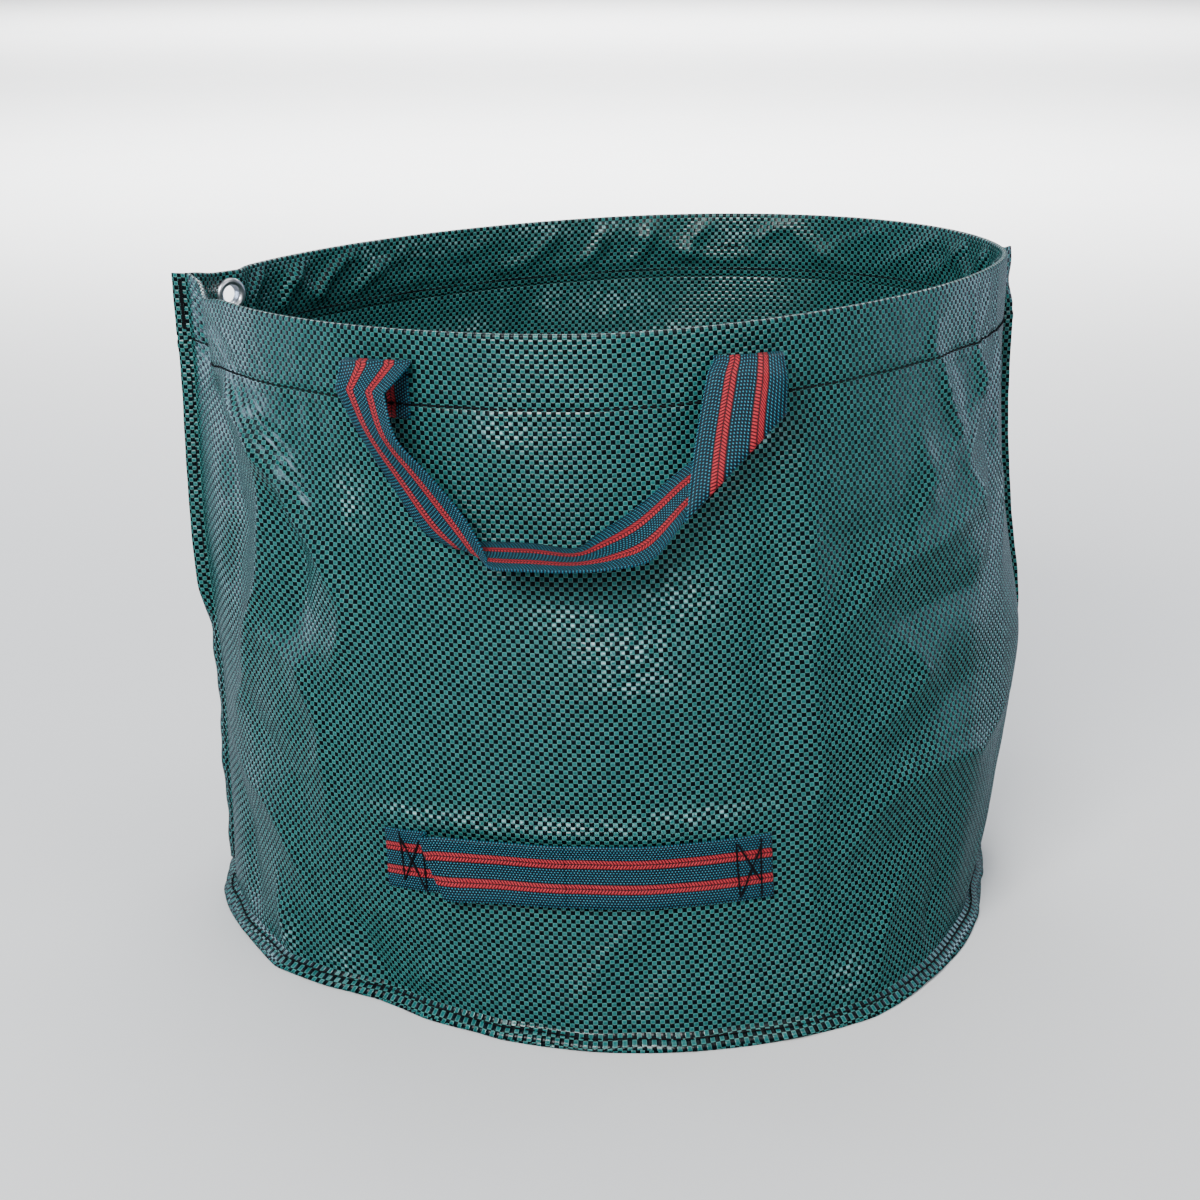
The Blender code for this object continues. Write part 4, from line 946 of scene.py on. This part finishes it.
def smooth_rulings(keys):
    """Catmull-Rom through key rulings. A key whose third item is True is a sharp corner."""
    keys = [(np.array(first, float), np.array(second, float), sharp) for first, second, sharp in keys]
    out = []
    for i in range(len(keys) - 1):
        pair = []
        for side in (0, 1):
            p1, p2 = keys[i][side], keys[i + 1][side]
            p0 = keys[i - 1][side] if i > 0 and not keys[i][2] else p1 - (p2 - p1)
            p3 = keys[i + 2][side] if i + 2 < len(keys) and not keys[i + 1][2] else p2 + (p2 - p1)
            pair.append((p0, p1, p2, p3))
        for j in range(RULING_STEPS):
            t = j / RULING_STEPS
            ends = []
            for p0, p1, p2, p3 in pair:
                ends.append(0.5 * (2 * p1 + (p2 - p0) * t + (2 * p0 - 5 * p1 + 4 * p2 - p3) * t * t
                                   + (3 * p1 - p0 - 3 * p2 + p3) * t ** 3))
            out.append(tuple(ends))
    out.append((keys[-1][0], keys[-1][1]))
    return out


def length_of_webbing(name, rows, walked, material):
    """A length of webbing from its rows of points, and how far along it each of them lies."""
    across = np.broadcast_to((SHARE - 0.5) * WEBBING_WIDTH, walked.shape)
    places = np.stack([across, walked], axis=-1)
    piece = make_piece(name, rows, grid_faces(len(rows), ACROSS + 1), places, material)
    thicken(piece, WEBBING * 0.9)
    return piece


class HandleFrame:
    """Flat frame on a handle's hinge line: x along it, y into the bag, z up."""

    def __init__(self, origin, along, half_spacing, u_tabs):
        self.origin = np.array(origin)
        self.along = np.array(along) / np.linalg.norm(along)
        self.inward = np.array([-self.along[1], self.along[0], 0.0])
        self.inward /= np.linalg.norm(self.inward)
        self.up = np.cross(self.along, self.inward)
        self.half_spacing = half_spacing
        self.u_tabs = u_tabs

    def world(self, x, y, z):
        x, y, z = (np.asarray(v, float)[..., None] for v in (x, y, z))
        return self.origin + self.along * x + self.inward * y + self.up * z


FRONT_HANDLE = HandleFrame((-0.03157, -0.19912, 0.37083), (0.99913, -0.03521, 0.02231), 0.09497,
                           ((0.1871, 0.2231), (0.3868, 0.4228)))
BACK_HANDLE = HandleFrame((-0.02338, 0.20811, 0.36691), (-0.96152, -0.27415, -0.01806), 0.09894,
                          ((0.9494, 0.9854), (1.1518, 1.1878)))

# The hanging loop, ruling by ruling in mm on the handle's frame: (x, y, z) of one edge and the other.
# The webbing turns on its edge as it hangs, and its right leg folds flat over the rest.
LOOP_RULINGS = (
    ((-115.4, -3.8, -11.7), (-88.5, -21.5, -11.0), True),
    ((-105.6, -1.0, -35.0), (-83.0, -28.0, -32.6), False),
    ((-90.0, -1.0, -63.0), (-68.5, -28.0, -50.2), False),
    ((-74.7, -6.0, -86.4), (-50.5, -30.0, -73.0), False),
    ((-61.7, -11.0, -93.4), (-38.5, -37.0, -92.5), True),
    ((-44.0, -13.5, -91.8), (-36.0, -46.0, -95.7), False),
    ((-16.6, -20.0, -91.1), (-16.2, -55.0, -94.5), False),
    ((5.4, -21.5, -93.6), (6.8, -56.0, -94.9), False),
    ((16.5, -20.5, -86.6), (29.6, -52.0, -94.4), False),
    ((37.0, -18.0, -73.1), (46.4, -45.0, -91.4), False),
    ((65.3, -9.0, -51.7), (62.0, -29.5, -76.2), False),
    ((90.0, -6.0, -39.0), (62.0, -30.0, -76.4), False),
    ((112.2, -3.6, -27.6), (62.0, -30.6, -76.4), True),
    ((113.9, -4.6, -27.6), (61.6, -31.4, -76.9), False),
    ((113.5, -5.8, -26.6), (62.4, -32.2, -75.6), True),
    ((114.0, -6.4, -17.0), (66.5, -19.0, -45.0), False),
    ((114.2, -6.4, -9.5), (72.2, -9.0, -14.0), False),
    ((114.0, -6.2, -7.0), (73.8, -6.6, -6.4), True),
)
# The back handle's loop hangs closer to the wall, by this share of how the front one stands off
BACK_LOOP_STANDS = 0.9
# Rows up a sewn tab: (depth, how far its stitches draw it in)
STITCH_DRAWS_IN = 0.0003
TAB_ROWS = (
    (0.0455, 0.0), (0.042, 0.0), (0.039, STITCH_DRAWS_IN), (0.037, STITCH_DRAWS_IN), (0.033, 0.0),
    (0.029, 0.0), (0.025, 0.0), (TAB_ROW_DEPTH, STITCH_DRAWS_IN), (0.0205, 0.0),
)
# Where the tab comes up to the hinge fold and the rows over it, as (y, z) on the handle's frame, and how
# far the webbing between runs on upwards at first and level at last
FOLD_BEGINS = (0.0019, 0.0002)
FOLD_ROWS = ((0.0010, 0.0007), (0.0, 0.0010), (-0.0012, 0.0006), (-0.0024, -0.0008))
FOLD_STEPS = 7
FOLD_RUNS_UP = 1.1
FOLD_RUNS_LEVEL = 0.45


def tab_rows(handle, tab, side):
    """Rows from a tab's bottom up over its fold, seen with x growing."""
    u = tab[0] + (tab[1] - tab[0]) * SHARE
    x = side * handle.half_spacing + (SHARE - 0.5) * WEBBING_WIDTH
    rows = [wall_point(u, rim_height(u) - depth, -WEBBING_LIES + drawn_in) for depth, drawn_in in TAB_ROWS]
    start = rows[-1]
    end = handle.world(x, *FOLD_BEGINS)
    up = handle.up * ((end - start) @ handle.up)[:, None] * FOLD_RUNS_UP
    level = handle.inward * ((start - end) @ handle.inward)[:, None] * FOLD_RUNS_LEVEL
    for t in np.linspace(0.0, 1.0, FOLD_STEPS)[1:]:
        rest = 1.0 - t
        rows.append(start * rest ** 3 + (start + up) * 3 * rest * rest * t
                    + (end + level) * 3 * rest * t * t + end * t ** 3)
    return rows + [handle.world(x, y, z) for y, z in FOLD_ROWS]


def carrying_handle(name, handle, material):
    """One length of webbing: a tab sewn to the hem, over the hinge fold, down the loop and back up."""
    stretch = handle.half_spacing / FRONT_HANDLE.half_spacing
    stand = 1.0 if name == "front" else BACK_LOOP_STANDS
    left = tab_rows(handle, handle.u_tabs[0], -1.0)
    right = [row[::-1] for row in reversed(tab_rows(handle, handle.u_tabs[1], 1.0))]
    keys = [(left[-1][0], left[-1][-1], False)]
    for first, second, sharp in LOOP_RULINGS:
        ends = [handle.world(x * MM * stretch, y * MM * stand, z * MM) for x, y, z in (first, second)]
        keys.append((*ends, sharp))
    keys.append((right[0][0], right[0][-1], False))
    loop = [a[None, :] * (1.0 - SHARE)[:, None] + b[None, :] * SHARE[:, None]
            for a, b in smooth_rulings(keys)[1:-1]]
    rows = np.array(left + loop + right)
    walked = walked_along(rows)
    piece = length_of_webbing(name + "_handle_webbing", rows, walked, material)
    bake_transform(piece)
    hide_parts(name + "_handle_left_tab", name + "_handle_right_tab", name + "_handle_loop")


# Low grab strap, from its left end. Its webbing leaves the left end in a slanted fold and comes back to
# the wall before the right end. (way along, stand-off from the wall) and (way along, height), in mm.
STRAP_START = 0.192
STRAP_LENGTH = 0.212
STRAP_END = 0.026
STRAP_PATH = ((0, 0.0), (26, 0.0), (26.8, 0.6), (26.9, 4.0), (26.6, 7.6), (27.6, 9.4), (30, 10.0), (36, 9.4),
              (48, 7.2), (66, 5.6), (100, 4.6), (146, 2.4), (178, 0.7), (188, 0.0), (214, 0.0))
STRAP_RISE = ((0, 91.5), (26, 94.0), (36, 96.5), (110, 97.5), (214, 95.5))
STRAP_SLANT = 12.0
# Between which mm along it the slant begins and ends, where its rows lie closer together, and over how
# much of its path to either side each row is eased
STRAP_SLANT_BEGINS = (12.0, 25.0)
STRAP_SLANT_ENDS = (34.0, 74.0)
STRAP_ROWS = 130
STRAP_FOLD = (24.0, 42.0)
STRAP_FOLD_ROWS = 46
STRAP_EASE = 0.7
# Off the wall its edges curl in: how far, and from which stand-off in mm. Its left end is a little narrower
STRAP_CURL = 0.0006
STRAP_CURL_STAND = 4
STRAP_NARROW = ((0, 40), (0.955, 1.0))
# The height of a place on the wall near each sewn end, and a distance in from that end; both are worked out
# and nothing uses them
STRAP_HEIGHT = 0.094
STRAP_GIVES = 0.045
# Its stitches: (way along, share of the width from the top) of both ends of each long thread
LEFT_CROSS = (((10, -0.01), (11.5, 0.88)), ((23.3, 0.03), (25.5, 1.04)), ((10.5, 0.12), (25.3, 0.98)),
              ((23.5, 0.08), (11.5, 0.87)))
RIGHT_CROSS = (((193.5, 0.05), (194.5, 0.97)), ((207.5, 0.0), (206.5, 1.06)), ((194, 0.08), (206.5, 0.72)),
               ((207.3, 0.15), (194.5, 0.93)))
# They lie on the webbing, as a share of its thickness, each over the one before, and come down to the
# cloth within a share of its width from its edges
CROSS_LIES = 0.97
CROSS_LAYER = 0.00025
CROSS_EDGE = 0.01


def strap_point(along, share, off):
    """A place on the strap: mm along it, share of its width from the top, and off the wall in metres."""
    centre = np.interp(along, *zip(*STRAP_RISE)) * MM
    width = WEBBING_WIDTH * np.interp(along, *STRAP_NARROW)
    z = centre + (0.5 - share) * width
    return wall_point(STRAP_START + along * MM, z, -off)


def grab_strap(material):
    """The low strap in two halves, each from its sewn end to the middle of the slack."""
    along, off = (np.array(v, float) for v in zip(*STRAP_PATH))
    path = np.concatenate([[0.0], np.cumsum(np.hypot(np.diff(along), np.diff(off)))])
    stations = np.unique(np.concatenate([np.linspace(0.0, path[-1], STRAP_ROWS),
                                         np.linspace(*STRAP_FOLD, STRAP_FOLD_ROWS)]))
    rows = []
    for station in stations:
        near = np.clip(station + np.linspace(-STRAP_EASE, STRAP_EASE, 7), 0.0, path[-1])
        here = float(np.interp(near, path, along).mean())
        stand = float(np.interp(near, path, off).mean())
        slant = float(smoothstep(*STRAP_SLANT_BEGINS, here) * (1.0 - smoothstep(*STRAP_SLANT_ENDS, here)))
        curl = STRAP_CURL * min(stand / STRAP_CURL_STAND, 1.0) * (2 * SHARE - 1) ** 2
        place = here + STRAP_SLANT * slant * SHARE ** 1.3
        rows.append(strap_point(place, SHARE, WEBBING_LIES + stand * MM - curl))
    rows = np.array(rows)
    walked = walked_along(rows)
    middle = int(np.searchsorted(stations, path[-1] / 2))
    left = wall_point(STRAP_START + STRAP_END, STRAP_HEIGHT, 0.0)
    right = wall_point(STRAP_START + STRAP_LENGTH - STRAP_END, STRAP_HEIGHT, 0.0)
    way = np.array([STRAP_GIVES, 0.0, 0.0])
    for name, half, seat, inwards in (("left", slice(0, middle + 1), left, way),
                                      ("right", slice(middle, None), right, -way)):
        piece = length_of_webbing("grab_strap_" + name + "_half", rows[half], walked[half], material)
        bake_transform(piece)
        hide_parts("grab_strap_" + name + "_end", "grab_strap")


# Thread

# A stitch's length and the gap to the next, for each kind of row
HEM_STITCH = (0.0044, 0.0004)
HEM_UNDER_STITCH = (0.0040, 0.0006)
SEAM_STITCH = (0.0036, 0.0008)
TACK_STITCH = (0.0026, 0.0001)
FOOT_STITCH = (0.0060, 0.0003)
TAB_STITCH = (0.0042, 0.0008)
CROSS_STITCH = (0.05, 0.0004)
# A stitch's form, as shares of the thread: how high it lies in the middle, how far it dips at its ends,
# and how flat it is pulled
THREAD_SIDES = 6
THREAD_LIES = 0.42
THREAD_DIPS = 0.75
THREAD_FLATNESS = 0.8
# Where the rows run: from a panel's edge, between places this far apart, out from a seam, up from the
# flange's start, down from the rim, up from the ground and in from a tab's edge
HEM_ROW_EDGE = 0.0013
HEM_ROW_STEP = 0.002
SEAM_ROW_REACH = 0.0020
SEAM_ROW_LOW = 0.003
SEAM_ROW_TOP = 0.037
FOOT_ROW_HEIGHT = 0.0054
TAB_ROW_EDGE = 0.0012
# How far the outer row of a tab runs on beyond it
TAB_ROW_TAIL = 0.004
# How far beside a tab a row still runs level, and over how much it then comes down to the cloth
TAB_SIDE = 0.001
TAB_RAMP = 0.0025
# The foot's row leans between outwards and up, as (share of outwards, up)
FOOT_ROW_FACES = (0.55, 0.83)
# The bar tack zigzags down the left flange: where it begins, how long it is, and how far out it reaches
TACK_TOP = 0.0032
TACK_LENGTH = 0.029
TACK_REACH = (0.0018, 0.0050)
TACK_STITCHES = 56
TACK_DRIFT = 0.0006


def sewn_thread(name, node, rows, material, thickness=0.0009, rings=7, dip=4):
    """Stitches laid end to end, shown in place of a node. Each row is (points, outward directions, stitch).
    The higher dip is, the nearer to its ends a stitch goes down."""
    points, faces, places = [], [], []
    t = np.linspace(-1.0, 1.0, rings)
    full = np.sqrt(np.clip(1.0 - t ** 6, 0.02, 1.0)) * thickness / 2
    lift = thickness * (THREAD_LIES - THREAD_DIPS * t ** dip)
    for line, out, (length, space) in rows:
        walked = walked_along(line)
        count = max(1, int((walked[-1] + space) / (length + space)))
        pitch = (walked[-1] + space) / count
        for i in range(count):
            s = i * pitch + (pitch - space) * np.linspace(0.0, 1.0, rings)
            here, up = along_row(s, walked, line), along_row(s, walked, out)
            up /= np.linalg.norm(up, axis=1)[:, None]
            side = np.cross(np.gradient(here, axis=0), up)
            side /= np.linalg.norm(side, axis=1)[:, None] + 1e-12
            first = len(points)
            for r in range(rings):
                for k in range(THREAD_SIDES):
                    turn = 2.0 * math.pi * k / THREAD_SIDES
                    points.append(here[r] + up[r] * (lift[r] + full[r] * THREAD_FLATNESS * math.sin(turn))
                                  + side[r] * full[r] * math.cos(turn))
                    places.append((k / THREAD_SIDES * thickness * 3.0, s[r]))
            faces += closed_faces(rings, THREAD_SIDES, first)
            last = first + (rings - 1) * THREAD_SIDES
            faces.append(tuple(first + k for k in reversed(range(THREAD_SIDES))))
            faces.append(tuple(last + k for k in range(THREAD_SIDES)))
    piece = make_piece(name, points, faces, places, material)
    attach(piece, "bag")
    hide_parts(node)


def lift_over_tabs(u):
    """How far the webbing of the tabs lifts the hem's row of stitches off the cloth."""
    lift = np.zeros(u.shape)
    for handle in (FRONT_HANDLE, BACK_HANDLE):
        for low, high in handle.u_tabs:
            beyond = np.maximum(np.maximum(low - TAB_SIDE - u, u - high - TAB_SIDE), 0.0)
            lift = np.maximum(lift, (GAP + WEBBING) * (1.0 - np.clip(beyond / TAB_RAMP, 0.0, 1.0)))
    return lift


def sew_hem(name, start, end, thread):
    """The long row round a panel's hem, and its under thread inside."""
    u = np.arange(start + HEM_ROW_EDGE, end - HEM_ROW_EDGE, HEM_ROW_STEP)
    z = rim_height(u) - HEM_STITCH_DEPTH
    out = outward_way(u, z)
    outside = wall_point(u, z, -lift_over_tabs(u) - 0.0001)
    sewn_thread(name + "_hem_stitches", name + "_hem_thread", [(outside, out, HEM_STITCH)], thread, 0.0012)
    inside = wall_point(u, z, CLOTH + GAP + CLOTH)
    sewn_thread(name + "_hem_under_stitches", name + "_hem_bobbin_thread",
                [(inside, -out, HEM_UNDER_STITCH)], thread)


def flange_line(seam, side, heights, reach):
    """A line up a seam flange, on the face towards side (+1 or -1 in u), and its outward directions."""
    line, out = [], []
    for z in heights:
        seat, stands, across = seam_frame(seam, side, z)
        spot = seat[:2] + stands * reach + across * (GAP / 2 + CLOTH + side * flange_sway(z, reach))
        line.append((*spot, z))
        out.append((*across, 0.0))
    return np.array(line), np.array(out)


def sew_side_seam(name, seam, thread):
    """A row up a side seam's flange, and its under thread on the flange's other face."""
    top = float(rim_height(np.asarray(seam))) - SEAM_ROW_TOP
    heights = np.linspace(SIDE_FLANGE_START + SEAM_ROW_LOW, top, 90)
    for label, node, side in (("", "", 1.0), ("under_", "bobbin_", -1.0)):
        line, out = flange_line(seam % ROUND if side > 0 else (seam or ROUND), side, heights, SEAM_ROW_REACH)
        sewn_thread(name + "_seam_" + label + "stitches", name + "_seam_" + node + "thread",
                    [(line, out, SEAM_STITCH)], thread)


def sew_bar_tack(thread):
    """Zigzag stitches that hold the top of the left seam."""
    top = float(rim_height(np.asarray(0.0))) - TACK_TOP
    rows = []
    for i, z in enumerate(np.linspace(top, top - TACK_LENGTH, TACK_STITCHES)):
        span = np.linspace(*TACK_REACH, 4)
        if i % 2:
            span = span[::-1]
        ends = [flange_line(0.0, 1.0, [z - TACK_DRIFT * j / 3], reach) for j, reach in enumerate(span)]
        rows.append((np.concatenate([spot for spot, _ in ends]), np.concatenate([out for _, out in ends]),
                     TACK_STITCH))
    sewn_thread("corner_bar_tack", "left_bar_tack", rows, thread, 0.0007)


def sew_foot(thread):
    """The row round the foot, through the turned-out edges of wall and base."""
    u = np.linspace(0.0, ROUND, 700)
    u[0] += NUDGE
    u[-1] -= NUDGE
    z = np.full(u.shape, FOOT_ROW_HEIGHT)
    outwards, up = FOOT_ROW_FACES
    out = outward_way(u, z) * outwards + (0.0, 0.0, up)
    line = wall_point(u, z, -CLOTH)
    sewn_thread("foot_stitches", "base_seam_thread", [(line, out, FOOT_STITCH)], thread, 0.0011)


def sew_tab(name, low, high, thread):
    """The upper row across a tab, and its under thread inside the hem."""
    for label, under, inside in (("row", "stitches", False), ("under_row", "bobbin_stitches", True)):
        tail = 0.0 if inside else TAB_ROW_TAIL
        u = np.linspace(low + TAB_ROW_EDGE, high - TAB_ROW_EDGE + tail, 30)
        z = rim_height(u) - TAB_ROW_DEPTH
        lift = -(GAP + WEBBING) * (1.0 - smoothstep(high - 0.001, high + 0.002, u))
        line = wall_point(u, z, WALL_OF_HEM if inside else lift)
        out = outward_way(u, z) * (-1.0 if inside else 1.0)
        sewn_thread(name + label, name + under, [(line, out, TAB_STITCH)], thread)


def cross_lines(cross):
    """The long threads of one sewn end, lying over its webbing."""
    rows = []
    for i, ((from_along, from_share), (to_along, to_share)) in enumerate(cross):
        s = np.linspace(0.0, 1.0, 24)
        along, share = from_along + (to_along - from_along) * s, from_share + (to_share - from_share) * s
        beyond = (smoothstep(1.0 - CROSS_EDGE, 1.0 + CROSS_EDGE, share) + 1.0
                  - smoothstep(-CROSS_EDGE, CROSS_EDGE, share))
        off = GAP + WEBBING * CROSS_LIES * (1.0 - beyond) + CROSS_LAYER * i
        line = strap_point(along, share, off)
        rows.append((line, outward_way(STRAP_START + along * MM, line[:, 2]), CROSS_STITCH))
    return rows


def sew_everything(thread):
    """All the rows, in the order in which the bag is made up."""
    for name, start, end in (("front", 0.0, HALF), ("back", HALF, ROUND)):
        sew_hem(name, start, end, thread)
    for name, seam in (("left", 0.0), ("right", HALF)):
        sew_side_seam(name, seam, thread)
    sew_bar_tack(thread)
    sew_foot(thread)
    for name, handle in (("front", FRONT_HANDLE), ("back", BACK_HANDLE)):
        for side, (low, high) in zip(("left", "right"), handle.u_tabs):
            sew_tab(name + "_handle_" + side + "_tab_", low, high, thread)
    for side, cross in (("left", LEFT_CROSS), ("right", RIGHT_CROSS)):
        name = "grab_strap_" + side
        sewn_thread(name + "_cross", name + "_stitches", cross_lines(cross), thread, 0.0011, rings=21, dip=16)


# Eyelet

EYELET_COLUMNS = 72
EYELET_NEAR = 0.005
# Distances along its axis lie inside the wall's outer face. The bead stands on the hem's inner face, and
# the rolled edge of the barrel lies on the outer one, over the washer
EYELET_FACE = WALL_OF_HEM + 0.0001
EYELET_BACK = -0.0011
BEAD_LIES = 0.0002
BEAD_HEIGHT = 0.0024
BARREL_WALL = 0.0006
ROLL_RADIUS = 0.0013
ROLL_HEIGHT = 0.0009
WASHER_RIM = (0.0062, 0.0095)
WASHER_BEAD = (0.0078, -0.0002, 0.0017, 0.0006)


def eyelet_place():
    """Middle of the eyelet on the hem's outer face, and the way square to it, into the bag."""
    u = ROUND - EYELET_U
    z = float(rim_height(np.asarray(u))) - EYELET_DROP
    along = wall_point(u + EYELET_NEAR, z, 0.0) - wall_point(u - EYELET_NEAR, z, 0.0)
    upward = wall_point(u, z + EYELET_NEAR, 0.0) - wall_point(u, z - EYELET_NEAR, 0.0)
    axis = np.cross(upward, along)
    axis /= np.linalg.norm(axis)
    out_x, out_y = outward(np.asarray(u), np.asarray(z))
    if axis[0] * float(out_x) + axis[1] * float(out_y) > 0:
        axis = -axis
    return wall_point(u, z, 0.0), axis


def turned_ring(name, profile, material, node):
    """A ring turned round the eyelet's axis from (radius, distance inside the wall) points."""
    centre, axis = eyelet_place()
    side = np.cross(axis, (0.0, 0.0, 1.0))
    side /= np.linalg.norm(side)
    up = np.cross(side, axis)
    points, places = [], []
    for i in range(EYELET_COLUMNS):
        angle = 2.0 * math.pi * i / EYELET_COLUMNS
        direction = side * math.cos(angle) + up * math.sin(angle)
        for radius, inside in profile:
            points.append(centre + direction * radius + axis * inside)
            places.append((angle * radius, inside))
    faces = closed_faces(EYELET_COLUMNS, len(profile), ends_meet=True)
    piece = make_piece(name, points, faces, places, material)
    remove_loose(piece)
    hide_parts(node)
    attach(piece, "bag")


def arc(centre_r, centre_a, radius_r, radius_a, start, end, count):
    """Points of a rounded bead: angle 0 points out from the axis, 90 degrees along it."""
    out = []
    for i in range(count + 1):
        angle = math.radians(start + (end - start) * i / count)
        out.append((centre_r + radius_r * math.cos(angle), centre_a + radius_a * math.sin(angle)))
    return out


def eyelet(material):
    """The pressed eyelet, through both layers of the hem, and its washer."""
    middle = (EYELET_HOLE + EYELET_FLANGE) / 2
    half = (EYELET_FLANGE - EYELET_HOLE) / 2
    bead = arc(middle, EYELET_FACE + BEAD_LIES, half, BEAD_HEIGHT, 180.0, 0.0, 14)
    barrel = [(EYELET_HOLE + BARREL_WALL, EYELET_FACE), (EYELET_HOLE + BARREL_WALL, EYELET_BACK)]
    roll = arc(EYELET_HOLE + ROLL_RADIUS, EYELET_BACK, ROLL_RADIUS, ROLL_HEIGHT, 0.0, -180.0, 8)
    turned_ring("pressed_eyelet", bead + barrel + roll, material, "eyelet")
    rim = [(radius, 0.0001) for radius in WASHER_RIM]
    turned_ring("eyelet_washer_ring", rim + arc(*WASHER_BEAD, 0.0, -180.0, 8), material, "eyelet_washer")


# Build

cloth = woven_tape_cloth()
webbing = striped_webbing()
thread = spun_polyester_thread()
nickel = nickel_plated_steel()
strip_plastic = extruded_strip_plastic()

front_panel = side_panel("front_panel_cloth", 0.0, HALF, cloth)
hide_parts("front_panel")
back_panel = side_panel("back_panel_cloth", HALF, ROUND, cloth)
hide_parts("back_panel")
base = base_cloth(cloth)
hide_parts("base_panel")

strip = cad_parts["rim_strip"]
strip.data.materials.clear()
strip.data.materials.append(strip_plastic)

carrying_handle("front", FRONT_HANDLE, webbing)
carrying_handle("back", BACK_HANDLE, webbing)
grab_strap(webbing)
sew_everything(thread)
eyelet(nickel)


# Floor, light and camera

FLOOR_REACH = 15.0
FLOOR_DROP = 0.0002
WORLD_COLOUR = "dce9fb"
WORLD_FRONT = 0.08
WORLD_BACK = 0.60
WORLD_PALE_WAY = (-0.26, 0.965, 0.0)
# The camera looks level in x and 18.4 degrees down
CAMERA_PLACE = (-0.012, -1.273, 0.600)
CAMERA_DOWN = 18.4
# The lights: (name, place, what it points at, width and height, watts, colour)
SOFT_LIGHTS = (
    ("key_softbox", (-0.7, -1.9, 1.6), (0.0, -0.1, 0.2), (1.1, 0.8), 76.0, "ffffff"),
    ("fill_softbox", (1.6, -1.4, 1.5), (0.0, 0.0, 0.25), (0.9, 0.9), 12.0, "ffffff"),
    ("top_softbox", (0.2, 0.2, 2.0), (0.0, 0.1, 0.2), (1.5, 1.1), 13.0, "ffffff"),
    ("right_strip_light", (1.55, 0.85, 0.5), (0.0, 0.0, 0.2), (0.3, 1.4), 6.0, "cfe0ff"),
    ("left_strip_light", (-1.65, 0.65, 0.4), (0.0, 0.0, 0.2), (0.3, 1.2), 8.0, "cfe0ff"),
    ("backdrop_light", (0.0, 3.4, 2.6), (0.0, 4.6, 0.0), (4.0, 1.5), 560.0, "ffffff"),
    ("far_backdrop_light", (0.0, 8.5, 3.0), (0.0, 9.5, 0.0), (7.0, 2.0), 900.0, "ffffff"),
)


def pale_floor():
    """A wide floor. In the photograph the ground is cut out and the cloth mirrors a dim room, so the
    floor isn't mirrored."""
    r = FLOOR_REACH
    points = [(-r, -r, 0), (r, -r, 0), (r, r, 0), (-r, r, 0)]
    floor = make_piece("pale_floor", points, [(0, 1, 2, 3)], [p[:2] for p in points], painted_floor(),
                       smooth=False)
    floor.location.z = -FLOOR_DROP
    floor.visible_glossy = False


def soft_light(name, place, target, size, power, colour):
    """A soft lamp at a place, turned to point at a target."""
    lamp = bpy.data.lights.new(name, "AREA")
    lamp.shape = "RECTANGLE"
    lamp.size, lamp.size_y = size
    lamp.energy = power
    lamp.color = linear(colour)[:3]
    item = bpy.data.objects.new(name, lamp)
    bpy.context.scene.collection.objects.link(item)
    item.location = place
    item.rotation_mode = "QUATERNION"
    item.rotation_quaternion = (Vector(target) - Vector(place)).to_track_quat("-Z", "Y")


def studio():
    """Pale behind the bag on the left and dim behind the camera, as a lit backdrop in a dark room."""
    world = bpy.data.worlds.new("studio")
    bpy.context.scene.world = world
    world.use_nodes = True
    background = world.node_tree.nodes["Background"]
    place = add_node(world, "TexCoord").outputs["Generated"]
    towards = add_node(world, "VectorMath", {"operation": "DOT_PRODUCT"}, {0: place, 1: WORLD_PALE_WAY})
    strength = add_node(world, "MapRange", SMOOTH, {"Value": towards, "From Min": 0.2, "From Max": 0.97,
                                                    "To Min": WORLD_FRONT, "To Max": WORLD_BACK})
    fill(background, {"Color": linear(WORLD_COLOUR), "Strength": strength})


pale_floor()
studio()
for light in SOFT_LIGHTS:
    soft_light(*light)

camera_data = bpy.data.cameras.new("camera")
camera_data.lens = 64.5
camera_data.sensor_width = 36.0
camera = bpy.data.objects.new("camera", camera_data)
camera.location = CAMERA_PLACE
camera.rotation_euler = (math.radians(90.0 - CAMERA_DOWN), 0.0, 0.0)
bpy.context.scene.collection.objects.link(camera)
bpy.context.scene.camera = camera
